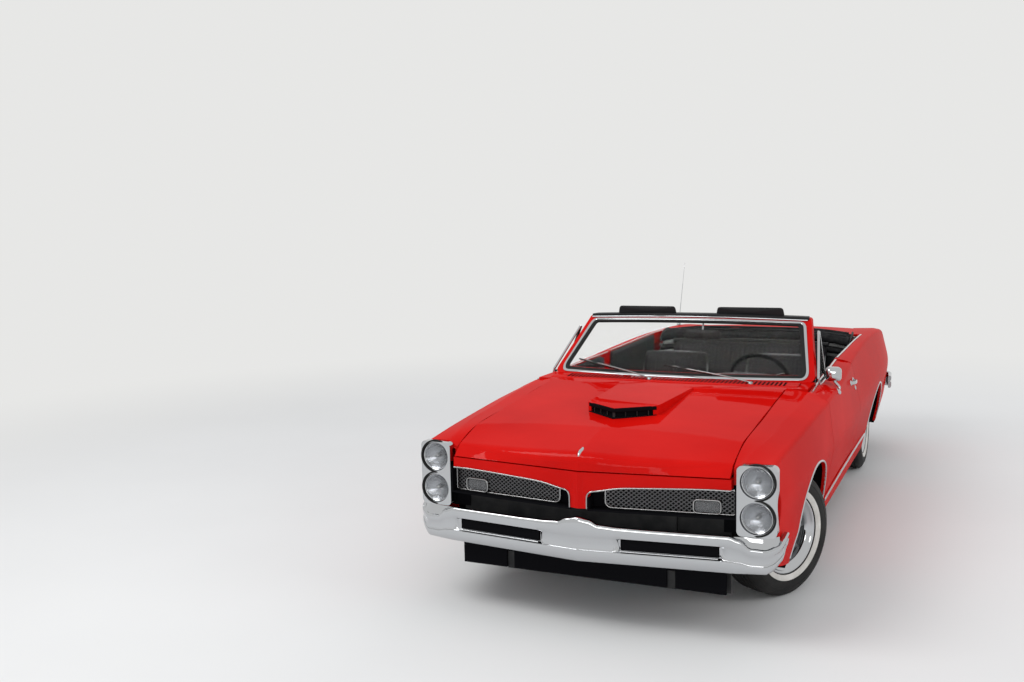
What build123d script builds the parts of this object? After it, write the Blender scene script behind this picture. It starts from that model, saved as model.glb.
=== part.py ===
from math import cos, hypot, radians, sin, sqrt, tan
import os

from build123d import *

os.makedirs("parts", exist_ok=True)

# An open two-door muscle car with its top folded down. Millimetres.
# The car faces -Y, its left (driver's) side is +X, +Z is up, and z = 0 is the ground.
# Every distance named y below counts back from the front axle, as in the tables.

# Overall
length = 5248
front_overhang = 935
wheelbase = 2921
front_axle = front_overhang - length / 2
rear_axle = wheelbase
panel = 18
seam_gap = 6
rest_gap = 0.3
move_gap = 6

# Wheels
tyre_radius = 320
tyre_width = 205
tyre_outer_x = 841
bead_radius = 198
rim_inner_radius = 176
wheel_x = tyre_outer_x - tyre_width / 2
axle_z = tyre_radius
steer_at_rest = -28.5
kingpin_x = 680
hub_radius = 62

# Body side
front_sweep = 0.13
nose_y = -905
hood_half_width = 690
door_front_y = 510
door_rear_y = 1720
door_bottom_z = 392
hinge_x = 938
hinge_setback = 22
hinge_gap = 10
hinge_pin_radius = 3
hood_hinge = (452, 961)
trunk_hinge = (3206, 989)
pin_reach = 34
cabin_half_width = 772
door_top_inner_front = 808
trunk_half_width = 645
trunk_front_y = 3200
trunk_rear_y = 4165
body_rear_y = 4235
rocker_top_z = 380
floor_z = (302, 316)

# Wheel openings: half length, half height, centre set back from the axle, centre height
front_arch = (440, 367, 20, 300)
rear_arch = (430, 345, 25, 300)

# Body side sections, from the hood seam outward and down:
# y, seam z, shoulder x and z, crest x and z, widest x and z, lower x and z, sill x and z
side_rows = (
    (-840, 758, 722, 812, 862, 822, 884, 655, 866, 480, 838, 385),
    (-740, 818, 740, 836, 865, 826, 897, 654, 880, 465, 850, 365),
    (-577, 870, 762, 864, 873, 838, 914, 652, 900, 450, 864, 318),
    (-241, 902, 788, 892, 890, 861, 932, 655, 913, 425, 871, 262),
    (30, 926, 800, 914, 900, 879, 940, 658, 915, 405, 869, 242),
    (260, 948, 808, 933, 907, 891, 942, 659, 907, 397, 864, 240),
    (480, 968, 815, 950, 914, 902, 944, 660, 898, 390, 860, 238),
    (1100, 973, 822, 966, 906, 930, 945, 662, 889, 382, 858, 238),
    (1720, 982, 822, 978, 880, 958, 945, 668, 889, 382, 858, 238),
    (2200, 990, 812, 990, 864, 982, 945, 680, 889, 382, 858, 238),
    (2800, 998, 800, 1001, 855, 993, 944, 688, 892, 390, 860, 242),
    (3400, 994, 790, 996, 848, 986, 936, 690, 892, 415, 862, 280),
    (3900, 964, 782, 968, 838, 958, 908, 690, 878, 450, 846, 345),
    (4250, 910, 768, 914, 822, 902, 876, 680, 848, 480, 822, 420),
)
side_radii = (60, 26, 260, 200)

# Lamp bezels
bezel_x = (712, 886)
bezel_z = (508, 826)
bezel_depth = 45

# Hood profiles: half-breadth from the middle, then four points of the top line as y and z
hood_columns = (
    (0, (-905, 766), (-893, 844), (-560, 905), (334, 975)),
    (345, (-860, 766), (-848, 828), (-520, 894), (365, 972)),
    (690 - seam_gap, (-816, 766), (-752, 818), (-560, 878), (458, 968)),
)
hood_thickness = 24
hood_nose_radii = (52, 90)

# Windshield: a bowed sheet laid back by its rake
glass_base_y = 660
glass_base_z = 958
glass_top_z = 1300
glass_rake = 457 / 331
glass_bow_radius = 3300
frame_depth = 62
glass_depth = 10


def at_y(y):
    """World y of a distance behind the front axle."""
    return front_axle + y


def section_plane(y):
    """Plane across the car, seen from the front: local x is the car's x, local y is height."""
    return Plane.XZ.offset(-at_y(y))


def block(x, y, z, mode=Mode.ADD):
    """A box between two x, two y behind the front axle and two z."""
    with Locations(((x[0] + x[1]) / 2, at_y((y[0] + y[1]) / 2), (z[0] + z[1]) / 2)):
        Box(x[1] - x[0], y[1] - y[0], z[1] - z[0], mode=mode)


def paired_blocks(x, y, z, mode=Mode.ADD):
    """The same box on the left and on the right."""
    block(x, y, z, mode)
    block((-x[1], -x[0]), y, z, mode)


def rod(start, end, radius, mode=Mode.ADD):
    """A round bar between two points given as x, y behind the front axle and z."""
    first = Vector(start[0], at_y(start[1]), start[2])
    last = Vector(end[0], at_y(end[1]), end[2])
    with BuildSketch(Plane(origin=first, z_dir=last - first)) as section:
        Circle(radius)
    extrude(section.sketch, amount=(last - first).length, mode=mode)


def prism_xy(points, z, mode=Mode.ADD):
    """A plan outline raised between two heights."""
    with BuildSketch(Plane.XY.offset(z[0])) as outline:
        with BuildLine():
            Polyline([(x, at_y(y)) for x, y in points], close=True)
        make_face()
    extrude(outline.sketch, amount=z[1] - z[0], mode=mode)


def prism_yz(points, x, mode=Mode.ADD):
    """A side outline given as y and z, carried across between two x."""
    with BuildSketch(Plane.YZ.offset(x[0])) as outline:
        with BuildLine():
            Polyline([(at_y(y), z) for y, z in points], close=True)
        make_face()
    extrude(outline.sketch, amount=x[1] - x[0], mode=mode)


def swept_strip(side, x, front, depth, z, mode=Mode.ADD):
    """A bar along the swept nose between two x, set back from its front line."""
    near, far = (nose_y + front_sweep * value + front for value in x)
    prism_xy([(side * x[0], near), (side * x[1], far), (side * x[1], far + depth), (side * x[0], near + depth)],
             z, mode)


def save(builder, name):
    """Label a finished piece and write its file."""
    builder.part.label = name
    export_step(builder.part, f"parts/{name}.step")


def row_at(y):
    """The side section at any y, in line between its neighbours."""
    for low, high in zip(side_rows, side_rows[1:]):
        if y <= high[0]:
            share = (y - low[0]) / (high[0] - low[0])
            return tuple(a + share * (b - a) for a, b in zip(low, high))
    return side_rows[-1]


def rows_between(first_y, last_y):
    """Side sections at both ends of a panel and at the table rows inside it."""
    inside = [row for row in side_rows if first_y + 60 < row[0] < last_y - 60]
    return [row_at(first_y)] + inside + [row_at(last_y)]


def side_points(row, inner_x):
    """Corner points of the outer skin, from its inner top edge to the sill."""
    return [(inner_x, row[1]), (row[2], row[3]), (row[4], row[5]), (row[6], row[7]),
            (row[8], row[9]), (row[10], row[11])]


def inset(points, distance):
    """An open line of points moved to its right by a distance."""
    lines = []
    for (x0, z0), (x1, z1) in zip(points, points[1:]):
        run = hypot(x1 - x0, z1 - z0)
        nx, nz = (z1 - z0) / run * distance, -(x1 - x0) / run * distance
        lines.append(((x0 + nx, z0 + nz), (x1 + nx, z1 + nz)))
    moved = [lines[0][0]]
    for ((x0, z0), (x1, z1)), ((x2, z2), (x3, z3)) in zip(lines, lines[1:]):
        cross = (x1 - x0) * (z3 - z2) - (z1 - z0) * (x3 - x2)
        share = ((x2 - x0) * (z3 - z2) - (z2 - z0) * (x3 - x2)) / cross
        moved.append((x0 + share * (x1 - x0), z0 + share * (z1 - z0)))
    return moved + [lines[-1][1]]


def skin(rows, inner_x, flange_depth=60):
    """A body side panel: an outer skin with a flange down its inner top edge."""
    sections = []
    for row in rows:
        outer = side_points(row, inner_x)
        inner = inset(outer, panel)
        inner[0] = (inner_x + panel * 0.7, inner[0][1])
        foot = (inner[0][0], inner[0][1] - flange_depth)
        with BuildSketch(section_plane(row[0])) as section:
            with BuildLine():
                FilletPolyline(*outer, radius=side_radii)
                Line(outer[-1], inner[-1])
                FilletPolyline(*reversed(inner), radius=[r - panel * 0.6 for r in reversed(side_radii)])
                Polyline(inner[0], foot, (inner_x, foot[1]), outer[0])
            make_face()
        sections.append(section.sketch)
    loft(sections)


def arch_cut(arch, axle_y, mode=Mode.SUBTRACT):
    """The wheel opening through a body side, from above the seats' width outward."""
    half_length, half_height, setback, centre_z = arch
    with BuildSketch(Plane.YZ.offset(600)) as opening:
        with Locations((at_y(axle_y + setback), centre_z)):
            Ellipse(half_length, half_height)
            Rectangle(2 * half_length, 2 * half_height, align=(Align.CENTER, Align.MAX))
    extrude(opening.sketch, amount=600, mode=mode)


def hinge_pin(place, x, clearance=0, mode=Mode.ADD):
    """A short pin across the car, or its bore, from one x to another."""
    rod((x[0], *place), (x[1], *place), hinge_pin_radius + clearance, mode)


def mirrored(source, name):
    """The right-hand copy of a left-hand piece."""
    with BuildPart() as copy:
        mirror(source.part, about=Plane.YZ)
    save(copy, name)
    return copy


def wheel_plane(side, front):
    """Plane at a wheel's middle with its normal pointing out of the car."""
    outward = Vector(side, 0, 0)
    centre = Vector(side * wheel_x, at_y(0 if front else rear_axle), axle_z)
    if front:
        outward = outward.rotate(Axis.Z, steer_at_rest)
        pivot = Vector(side * kingpin_x, at_y(0), axle_z)
        centre = pivot + (centre - pivot).rotate(Axis.Z, steer_at_rest)
    return Plane(origin=centre, x_dir=(0, 0, 1), z_dir=outward)


def ring(plane, points, mode=Mode.ADD):
    """A solid of revolution about a wheel's axis, from points given as distance outward and radius."""
    side_plane = Plane(origin=plane.origin, x_dir=plane.z_dir, z_dir=plane.z_dir.cross(Vector(0, 0, 1)))
    with BuildSketch(side_plane) as profile:
        with BuildLine():
            Polyline(points, close=True)
        make_face()
    revolve(profile.sketch, axis=Axis(plane.origin, plane.z_dir), mode=mode)


# Front fenders
with BuildPart() as fender_left:
    skin(rows_between(-840, door_front_y - move_gap), hood_half_width)
    arch_cut(front_arch, 0)
    swept_strip(1, (500, 1100), bezel_depth + rest_gap - 400, 400, (200, 1000), mode=Mode.SUBTRACT)
    hinge_pin(hood_hinge, (hood_half_width + panel / 2, hood_half_width - pin_reach))
save(fender_left, "fender_left")
fender_right = mirrored(fender_left, "fender_right")

# Nose: the body-coloured bar above the grille, curved along its lower edge, and the beak that divides it
nose_z = (714, 760)
nose_depth = 50
beak_half_width = 42
beak_bottom_z = 590
with BuildPart() as nose_panel:
    for side in (1, -1):
        swept_strip(side, (0, hood_half_width - rest_gap), 0, nose_depth, (beak_bottom_z, nose_z[1]))
    prism_xy([(0, nose_y - 4), (beak_half_width, nose_y + 8), (beak_half_width, nose_y + 60),
              (-beak_half_width, nose_y + 60), (-beak_half_width, nose_y + 8)], (beak_bottom_z, nose_z[1]))
    with BuildSketch(section_plane(nose_y - 50)) as face:
        with BuildLine():
            FilletPolyline((0, beak_bottom_z), (beak_half_width, beak_bottom_z), (beak_half_width, 664), (197, 697),
                           (555, nose_z[0]), (hood_half_width, nose_z[0]), radius=(8, 28, 150, 300))
            Polyline((hood_half_width, nose_z[0]), (hood_half_width, nose_z[1]), (0, nose_z[1]), (0, beak_bottom_z))
        make_face()
        mirror(about=Plane.YZ)
    extrude(face.sketch, amount=-300, mode=Mode.INTERSECT)
save(nose_panel, "nose_panel")

# Grille: in each half a recessed back plate in a shallow box
grille_z = (578, nose_z[0] - rest_gap)
grille_x = (beak_half_width + rest_gap, bezel_x[0] - rest_gap)
grille_recess = 72
bar = 8
with BuildPart() as grille:
    for side in (1, -1):
        swept_strip(side, grille_x, grille_recess, bar, grille_z)
        swept_strip(side, grille_x, bar, grille_recess - bar, (grille_z[0], grille_z[0] + bar))
        swept_strip(side, (grille_x[0], grille_x[0] + bar), bar, grille_recess, (grille_z[0], 640))
        swept_strip(side, (grille_x[1] - bar, grille_x[1]), bar, grille_recess, grille_z)
    block((-grille_x[0], grille_x[0]), (nose_y + grille_recess + 7, nose_y + grille_recess + 7 + bar), grille_z)
save(grille, "grille")

# Grille mesh: a plate of diamond holes in each half, in the plane of the swept nose, round a parking lamp
mesh_outline = ((113, 589), (704, 589), (704, 703), (300, 703), (113, 686))
mesh_corner = 30
mesh_frame = 6
mesh_pitch = 40
mesh_bar = 4
mesh_recess = nose_depth + rest_gap
park_lamp_at = (580, 622)
park_lamp_size = (122, 62)
park_lamp_corner = 20
nose_along = Vector(1, front_sweep, 0).normalized()
nose_out = nose_along.cross(Vector(0, 0, 1))
mesh_plane = Plane(origin=(0, at_y(nose_y + mesh_recess), 0), x_dir=nose_along, z_dir=nose_out)
with BuildPart() as grille_mesh:
    with BuildSketch(mesh_plane) as edge:
        with BuildLine():
            Polyline(*mesh_outline, close=True)
        make_face()
        fillet(edge.vertices(), radius=mesh_corner)
    low_x, high_x = mesh_outline[0][0], mesh_outline[1][0]
    low_z, high_z = mesh_outline[0][1], mesh_outline[2][1]
    half_pitch = mesh_pitch / 2
    hole_centres = [(low_x + i * half_pitch, low_z + j * half_pitch)
                    for i in range(int((high_x - low_x) / half_pitch) + 1)
                    for j in range(int((high_z - low_z) / half_pitch) + 1) if (i + j) % 2]
    hole_side = mesh_pitch / sqrt(2) - mesh_bar
    with BuildSketch(mesh_plane) as holes:
        with Locations(*hole_centres):
            Rectangle(hole_side, hole_side, rotation=45)
    with BuildSketch(mesh_plane) as opening:
        add(edge.sketch_local)
        offset(amount=-mesh_frame, mode=Mode.REPLACE)
        with Locations(park_lamp_at):
            RectangleRounded(park_lamp_size[0] + 2 * mesh_frame, park_lamp_size[1] + 2 * mesh_frame,
                             park_lamp_corner + mesh_frame, mode=Mode.SUBTRACT)
        add(holes.sketch_local, mode=Mode.INTERSECT, clean=False)
    with BuildSketch(mesh_plane) as mesh_plate:
        add(edge.sketch_local)
        with Locations(park_lamp_at):
            RectangleRounded(*park_lamp_size, park_lamp_corner, mode=Mode.SUBTRACT)
        add(opening.sketch_local, mode=Mode.SUBTRACT, clean=False)
    extrude(mesh_plate.sketch, amount=-mesh_frame, clean=False)
    mirror(about=Plane.YZ)
save(grille_mesh, "grille_mesh")

# Headlamps, two to a side, one above the other, in deep bright bezels
lamp_x = 799
lamp_heights = (752, 592)
lamp_radius = 73
lamp_front_y = nose_y + front_sweep * lamp_x + 6
park_lamp_proud = 6
park_lamp_depth = grille_recess - mesh_recess - 1
with BuildPart() as lamp_bezels:
    for side in (1, -1):
        with BuildSketch(section_plane(nose_y)) as outline:
            with Locations((side * (bezel_x[0] + bezel_x[1]) / 2, (bezel_z[0] + bezel_z[1]) / 2)):
                RectangleRounded(bezel_x[1] - bezel_x[0], bezel_z[1] - bezel_z[0], 24)
        extrude(outline.sketch, amount=-400)
    for side in (1, -1):
        swept_strip(side, (600, 1000), bezel_depth, 500, (400, 900), mode=Mode.SUBTRACT)
        swept_strip(side, (600, 1000), -400, 400, (400, 900), mode=Mode.SUBTRACT)
        for z in lamp_heights:
            rod((side * lamp_x, nose_y - 100, z), (side * lamp_x, nose_y + 300, z), lamp_radius + rest_gap,
                mode=Mode.SUBTRACT)
    for side in (1, -1):
        swept_strip(side, (bezel_x[0], 846), bezel_depth, 14, (530, 790))
save(lamp_bezels, "lamp_bezels")

with BuildPart() as headlamps:
    with BuildSketch(mesh_plane.offset(park_lamp_proud)) as lens:
        with Locations(park_lamp_at):
            RectangleRounded(park_lamp_size[0] - 2 * rest_gap, park_lamp_size[1] - 2 * rest_gap, park_lamp_corner)
    extrude(lens.sketch, amount=-park_lamp_proud - park_lamp_depth)
    fillet(headlamps.faces().sort_by(Axis.Y)[0].edges(), radius=5)
    mirror(about=Plane.YZ)
    for side in (1, -1):
        for z in lamp_heights:
            centre = Vector(side * lamp_x, at_y(lamp_front_y), z)
            with BuildSketch(Plane(origin=centre, x_dir=(0, 1, 0), z_dir=(1, 0, 0))) as lens:
                with BuildLine():
                    ThreePointArc((0, 0), (4, lamp_radius * 0.6), (14, lamp_radius))
                    Polyline((14, lamp_radius), (25, lamp_radius), (25, 0), (0, 0))
                make_face()
            revolve(lens.sketch, axis=Axis(centre, (0, 1, 0)))
save(headlamps, "headlamps")

# Hood: lofted from its middle to each side and trimmed to a shell
def hood_profile(column, lift=0):
    """Top line of the hood at one distance from the middle, closed below by its thickness."""
    x, tip, nose, brow, rear = column
    top = [tip, nose, brow, rear]
    top = [(y, z + lift) for y, z in top]
    under = [(tip[0] + hood_thickness, tip[1]), (nose[0] + hood_thickness, nose[1] - hood_thickness),
             (brow[0], brow[1] - hood_thickness), (rear[0], rear[1] - hood_thickness)]
    return x, top, under


def hood_half(side):
    """One half of the hood."""
    sections = []
    for column in hood_columns:
        x, top, under = hood_profile(column)
        with BuildSketch(Plane.YZ.offset(side * x)) as section:
            with BuildLine():
                FilletPolyline(*[(at_y(y), z) for y, z in top], radius=hood_nose_radii)
                Line((at_y(top[-1][0]), top[-1][1]), (at_y(under[-1][0]), under[-1][1]))
                FilletPolyline(*[(at_y(y), z) for y, z in reversed(under)],
                               radius=[hood_nose_radii[1], hood_nose_radii[0] - hood_thickness])
                Line((at_y(under[0][0]), under[0][1]), (at_y(top[0][0]), top[0][1]))
            make_face()
        sections.append(section.sketch)
    loft(sections)


with BuildPart() as hood:
    hood_half(1)
    hood_half(-1)
    for side in (1, -1):
        hinge_pin(hood_hinge, (side * (hood_half_width + 1), side * (hood_half_width - pin_reach - 2)), rest_gap,
                  Mode.SUBTRACT)
save(hood, "hood")

# Hood scoop: a low box open to the front under a pointed lip, on a raised bulge that fades to the rear
scoop_front_y = -395
scoop_corner_y = -255
scoop_rear_y = 300
scoop_half_width = 178
bulge_half_width = 215
scoop_wall = 12
scoop_side_rows = ((scoop_front_y - 1, scoop_half_width), (scoop_rear_y, bulge_half_width))
with BuildPart() as scoop_blank:
    sections = []
    for y, half_width in scoop_side_rows:
        with BuildSketch(section_plane(y)) as section:
            with BuildLine():
                Polyline((-half_width - 20, 870), (half_width + 20, 870), (half_width, 990), (-half_width, 990),
                         close=True)
            make_face()
        sections.append(section.sketch)
    loft(sections)
    prism_yz([(scoop_front_y, 870), (scoop_front_y, 950), (scoop_corner_y, 972), (scoop_rear_y, 980),
              (scoop_rear_y, 870)], (-bulge_half_width - 30, bulge_half_width + 30), mode=Mode.INTERSECT)
    prism_xy([(0, scoop_front_y), (scoop_half_width + 10, scoop_corner_y), (bulge_half_width + 30, scoop_rear_y),
              (-bulge_half_width - 30, scoop_rear_y), (-scoop_half_width - 10, scoop_corner_y)],
             (850, 1050), mode=Mode.INTERSECT)
    prism_xy([(0, scoop_front_y - 20), (scoop_half_width - scoop_wall, scoop_corner_y - 20),
              (scoop_half_width - scoop_wall, scoop_corner_y + 60), (scoop_wall - scoop_half_width, scoop_corner_y + 60),
              (scoop_wall - scoop_half_width, scoop_corner_y - 20)], (925, 958), mode=Mode.SUBTRACT)
    add(hood.part, mode=Mode.SUBTRACT)
with BuildPart() as hood_scoop:
    add(scoop_blank.solids().sort_by(Axis.Z)[-1])
save(hood_scoop, "hood_scoop")

# Cowl: the fixed panel between the hood and the windshield
cowl_z = (940, 966)
with BuildPart() as cowl:
    with BuildSketch(Plane.XY.offset(cowl_z[0])) as plan:
        with BuildLine():
            corner = hood_half_width - seam_gap
            side_rear, middle_rear = hood_columns[-1][-1][0], hood_columns[0][-1][0]
            hood_rear_edge = [(-corner, side_rear), (0, middle_rear), (corner, side_rear)]
            front = [(x, at_y(y + hinge_gap)) for x, y in hood_rear_edge]
            side_y = at_y(door_front_y)
            rear_y = at_y(glass_base_y + 110)
            ThreePointArc(*front)
            Polyline(front[2], (hood_half_width - rest_gap, front[2][1]), (hood_half_width - rest_gap, side_y),
                     (798, side_y), (798, rear_y), (-798, rear_y), (-798, side_y),
                     (rest_gap - hood_half_width, side_y), (rest_gap - hood_half_width, front[0][1]), front[0])
        make_face()
    extrude(plan.sketch, amount=cowl_z[1] - cowl_z[0])
save(cowl, "cowl")


# Windshield frame and glass: one bowed sheet, laid back, split into a ring and a pane
def bowed_sheet(depth, setback):
    """A bowed sheet of a given depth, laid back from the cowl to above the header."""
    with BuildSketch(Plane.XY.offset(glass_base_z)) as plan:
        with Locations((0, at_y(glass_base_y + setback) + glass_bow_radius)):
            Circle(glass_bow_radius)
            Circle(glass_bow_radius - depth, mode=Mode.SUBTRACT)
        with Locations((0, at_y(glass_base_y) - 200)):
            Rectangle(1900, 900, align=(Align.CENTER, Align.MIN), mode=Mode.INTERSECT)
    rise = glass_top_z + 60 - glass_base_z
    extrude(plan.sketch, amount=rise * hypot(1, glass_rake), dir=(0, glass_rake, 1))


def glass_outline(base_half, top_half, base_z, top_z, crown, mode):
    """A front-view trapezoid with a crowned top, cut through the sheet."""
    with BuildSketch(section_plane(0)) as outline:
        with BuildLine():
            Polyline((top_half, top_z), (base_half, base_z), (-base_half, base_z), (-top_half, top_z))
            ThreePointArc((-top_half, top_z), (0, top_z + crown), (top_half, top_z))
        make_face()
        fillet(outline.vertices(), radius=22)
    extrude(outline.sketch, amount=-2000, mode=mode)


with BuildPart() as windshield_frame:
    bowed_sheet(frame_depth, 0)
    glass_outline(800, 706, cowl_z[1], 1292, 16, Mode.INTERSECT)
    glass_outline(752, 670, cowl_z[1] + 26, 1262, 14, Mode.SUBTRACT)
save(windshield_frame, "windshield_frame")

with BuildPart() as windshield_glass:
    bowed_sheet(glass_depth, 20)
    glass_outline(752 - rest_gap, 670 - rest_gap, cowl_z[1] + 26 + rest_gap, 1262 - rest_gap, 14, Mode.INTERSECT)
save(windshield_glass, "windshield_glass")

# Doors: closed boxes with a hinge axis near their front edge and a rear face round that axis
door_rows = rows_between(door_front_y, door_rear_y)
hinge_y = door_front_y + hinge_setback
door_swing = door_rear_y - hinge_y


def swing_cylinder(radius, mode):
    """An upright cylinder about the left door's hinge axis."""
    with BuildSketch(Plane.XY.offset(150)) as disc:
        with Locations((hinge_x, at_y(hinge_y))):
            Circle(radius)
    extrude(disc.sketch, amount=1000, mode=mode)


# Each door slides on two straps curved about its hinge axis, which stand out of the pillar ahead of it
strap_radius = 80
strap_thickness = 8
strap_rows = ((470, 486), (780, 796))
pillar_x = (745, 870)
pillar_y = (464, door_front_y - move_gap)


def hinge_straps(clearance, end_x, mode=Mode.ADD):
    """Both straps of the left door, or their slots when a clearance is given."""
    for low, high in strap_rows:
        with BuildSketch(Plane.XY.offset(low - clearance)) as strap:
            with Locations((hinge_x, at_y(hinge_y))):
                Circle(strap_radius + strap_thickness / 2 + clearance)
                Circle(strap_radius - strap_thickness / 2 - clearance, mode=Mode.SUBTRACT)
            with Locations((hinge_x - 2 * strap_radius, at_y(pillar_y[1] - 14))):
                Rectangle(end_x - hinge_x + 2 * strap_radius, 2 * strap_radius, align=Align.MIN, mode=Mode.INTERSECT)
        extrude(strap.sketch, amount=high - low + 2 * clearance, mode=mode)


with BuildPart() as door_left:
    sections = []
    for row in door_rows:
        share = (row[0] - door_front_y) / (door_rear_y - door_front_y)
        inner_x = door_top_inner_front + share * (cabin_half_width - door_top_inner_front)
        outer = [(inner_x, row[3])] + side_points(row, inner_x)[2:4]
        drop = (outer[2][1] - door_bottom_z) / (row[7] - row[9])
        foot = (row[6] + drop * (row[8] - row[6]), door_bottom_z)
        with BuildSketch(section_plane(row[0])) as section:
            with BuildLine():
                FilletPolyline(*outer, foot, radius=side_radii[1:3])
                Polyline(foot, (foot[0] - 62, door_bottom_z), (inner_x + 18, row[7]), outer[0])
            make_face()
        sections.append(section.sketch)
    loft(sections)
    swing_cylinder(door_swing, Mode.INTERSECT)
    hinge_straps(rest_gap, 899, Mode.SUBTRACT)
save(door_left, "door_left")
door_right = mirrored(door_left, "door_right")

# Hinge pillars ahead of the doors, with the straps that carry them
with BuildPart() as hinge_pillars:
    block(pillar_x, pillar_y, (rocker_top_z + 16, 875))
    hinge_straps(0, 895)
    mirror(about=Plane.YZ)
save(hinge_pillars, "hinge_pillars")

# Rocker panels under the doors, from one wheel opening to the other
with BuildPart() as rocker_panels:
    sections = []
    for y in (door_front_y - move_gap + rest_gap, door_rear_y + 300, rear_axle - 420):
        row = row_at(y)
        low = [(row[8] + 1, rocker_top_z), (row[10], row[11])]
        with BuildSketch(section_plane(y)) as section:
            with BuildLine():
                Polyline(low[0], low[1], (low[1][0] - 90, low[1][1]), (low[0][0] - 120, rocker_top_z), close=True)
            make_face()
        sections.append(section.sketch)
    loft(sections)
    mirror(about=Plane.YZ)
save(rocker_panels, "rocker_panels")

# Rear body sides: beside the cabin, then beside the trunk lid, each side in one piece
deck_front_y = trunk_front_y - 110
trunk_side_y = deck_front_y
with BuildPart() as quarter_left:
    skin(rows_between(door_rear_y + move_gap - 40, trunk_side_y), cabin_half_width)
    swing_cylinder(door_swing + move_gap, Mode.SUBTRACT)
    skin(rows_between(trunk_side_y, body_rear_y), trunk_half_width)
    arch_cut(rear_arch, rear_axle)
    block((500, 1100), (0, rear_axle - 400), (0, rocker_top_z + rest_gap), mode=Mode.SUBTRACT)
    hinge_pin(trunk_hinge, (trunk_half_width + panel / 2, trunk_half_width - pin_reach))
save(quarter_left, "quarter_left")
quarter_right = mirrored(quarter_left, "quarter_right")

# Deck: the fixed panel across the car between the folded top and the trunk lid
deck_z = (984, 1002)
with BuildPart() as rear_deck:
    deck_rear_y = trunk_front_y - hinge_gap
    prism_yz([(deck_front_y, deck_z[1]), (deck_rear_y, deck_z[1]), (deck_rear_y, 930), (deck_rear_y - panel, 930),
              (deck_rear_y - panel, deck_z[0]), (deck_front_y, deck_z[0])],
             (rest_gap - trunk_half_width, trunk_half_width - rest_gap))
save(rear_deck, "rear_deck")

# Trunk lid, lofted across like the hood
trunk_columns = (
    (0, (trunk_front_y, 1000), (3750, 990), (4090, 955), (trunk_rear_y, 846)),
    (345, (trunk_front_y, 999), (3750, 986), (4085, 950), (trunk_rear_y, 846)),
    (trunk_half_width - seam_gap, (trunk_front_y, 997), (3740, 977), (4075, 934), (trunk_rear_y, 846)),
)
with BuildPart() as trunk_lid:
    for side in (1, -1):
        sections = []
        for x, *top in trunk_columns:
            under = [(y, z - hood_thickness) for y, z in top]
            under[-1] = (top[-1][0] - hood_thickness, top[-1][1])
            with BuildSketch(Plane.YZ.offset(side * x)) as section:
                with BuildLine():
                    FilletPolyline(*[(at_y(y), z) for y, z in top], radius=(300, 40))
                    Polyline((at_y(top[-1][0]), top[-1][1]), (at_y(under[-1][0]), under[-1][1]))
                    FilletPolyline(*[(at_y(y), z) for y, z in reversed(under)], radius=(20, 300))
                    Line((at_y(under[0][0]), under[0][1]), (at_y(top[0][0]), top[0][1]))
                make_face()
            sections.append(section.sketch)
        loft(sections)
    for side in (1, -1):
        hinge_pin(trunk_hinge, (side * (trunk_half_width + 1), side * (trunk_half_width - pin_reach - 2)), rest_gap,
                  Mode.SUBTRACT)
save(trunk_lid, "trunk_lid")

# Tail panel below the trunk lid, with two openings for the lamps
tail_z = (520, 836)
tail_lamp_x = (380, 770)
tail_lamp_z = (640, 790)
with BuildPart() as tail_panel:
    prism_xy([(-790, 4200), (-790, 4172), (790, 4172), (790, 4200), (640, 4222), (-640, 4222)], tail_z)
    paired_blocks(tail_lamp_x, (4100, 4300), tail_lamp_z, mode=Mode.SUBTRACT)
save(tail_panel, "tail_panel")

with BuildPart() as tail_lamps:
    for side in (1, -1):
        inner, outer = sorted((side * (tail_lamp_x[0] + rest_gap), side * (tail_lamp_x[1] - rest_gap)))
        block((inner, outer), (4176, 4196), (tail_lamp_z[0] + rest_gap, tail_lamp_z[1] - rest_gap))
        for step in range(3):
            z = tail_lamp_z[0] + 18 + step * 42
            block((inner + 10, outer - 10), (4195, 4214), (z, z + 30))
save(tail_lamps, "tail_lamps")

# Bumpers: thick bars that follow the nose and the tail and wrap round the corners
bumper_thickness = 26
bumper_z = (345, 505)
bumper_slot = ((190, 650), (398, 462))


def bumper_bar(front_line, inner_line, z):
    """A bar between a front line and an inner line of plan points, on both sides."""
    outline = front_line + inner_line[::-1]
    prism_xy(outline, z)
    prism_xy([(-x, y) for x, y in outline], z)


front_bumper_line = ((0, -935), (700, -855), (852, -820), (912, -768), (924, -690))
front_bumper_inner = ((0, -905), (690, -828), (838, -797), (892, -755), (901, -690))
with BuildPart() as front_bumper:
    bumper_bar(list(front_bumper_line), list(front_bumper_inner), bumper_z)
    bumper_bar([(0, -935), (695, -855)], [(0, -908), (692, -828)], (bumper_z[1], 526))
    bumper_bar([(0, -934.9), (60, -926)], [(0, -908), (60, -900)], (526, 556))
    paired_blocks(bumper_slot[0], (-1000, -700), bumper_slot[1], mode=Mode.SUBTRACT)
    for x in ((840, 1000), (-1000, -840)):
        prism_yz([(-822, bumper_z[0] - 10), (-822, bumper_z[0]), (-690, 462), (-600, 462), (-600, bumper_z[0] - 10)], x,
                 mode=Mode.SUBTRACT)
    paired_blocks((385, 425), (-868, -770 - rest_gap), (350, 392))
    paired_blocks((385, 425), (-800, -770 - rest_gap), (240, 392))
save(front_bumper, "front_bumper")

with BuildPart() as rear_bumper:
    bumper_bar([(0, 4313), (680, 4301), (872, 4276), (912, 4215), (926, 4020)],
               [(0, 4285), (674, 4273), (852, 4252), (886, 4202), (900, 4020)], (430, 560))
    paired_blocks((390, 450), (4150 + rest_gap, 4282), (440, 500))
save(rear_bumper, "rear_bumper")

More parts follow.
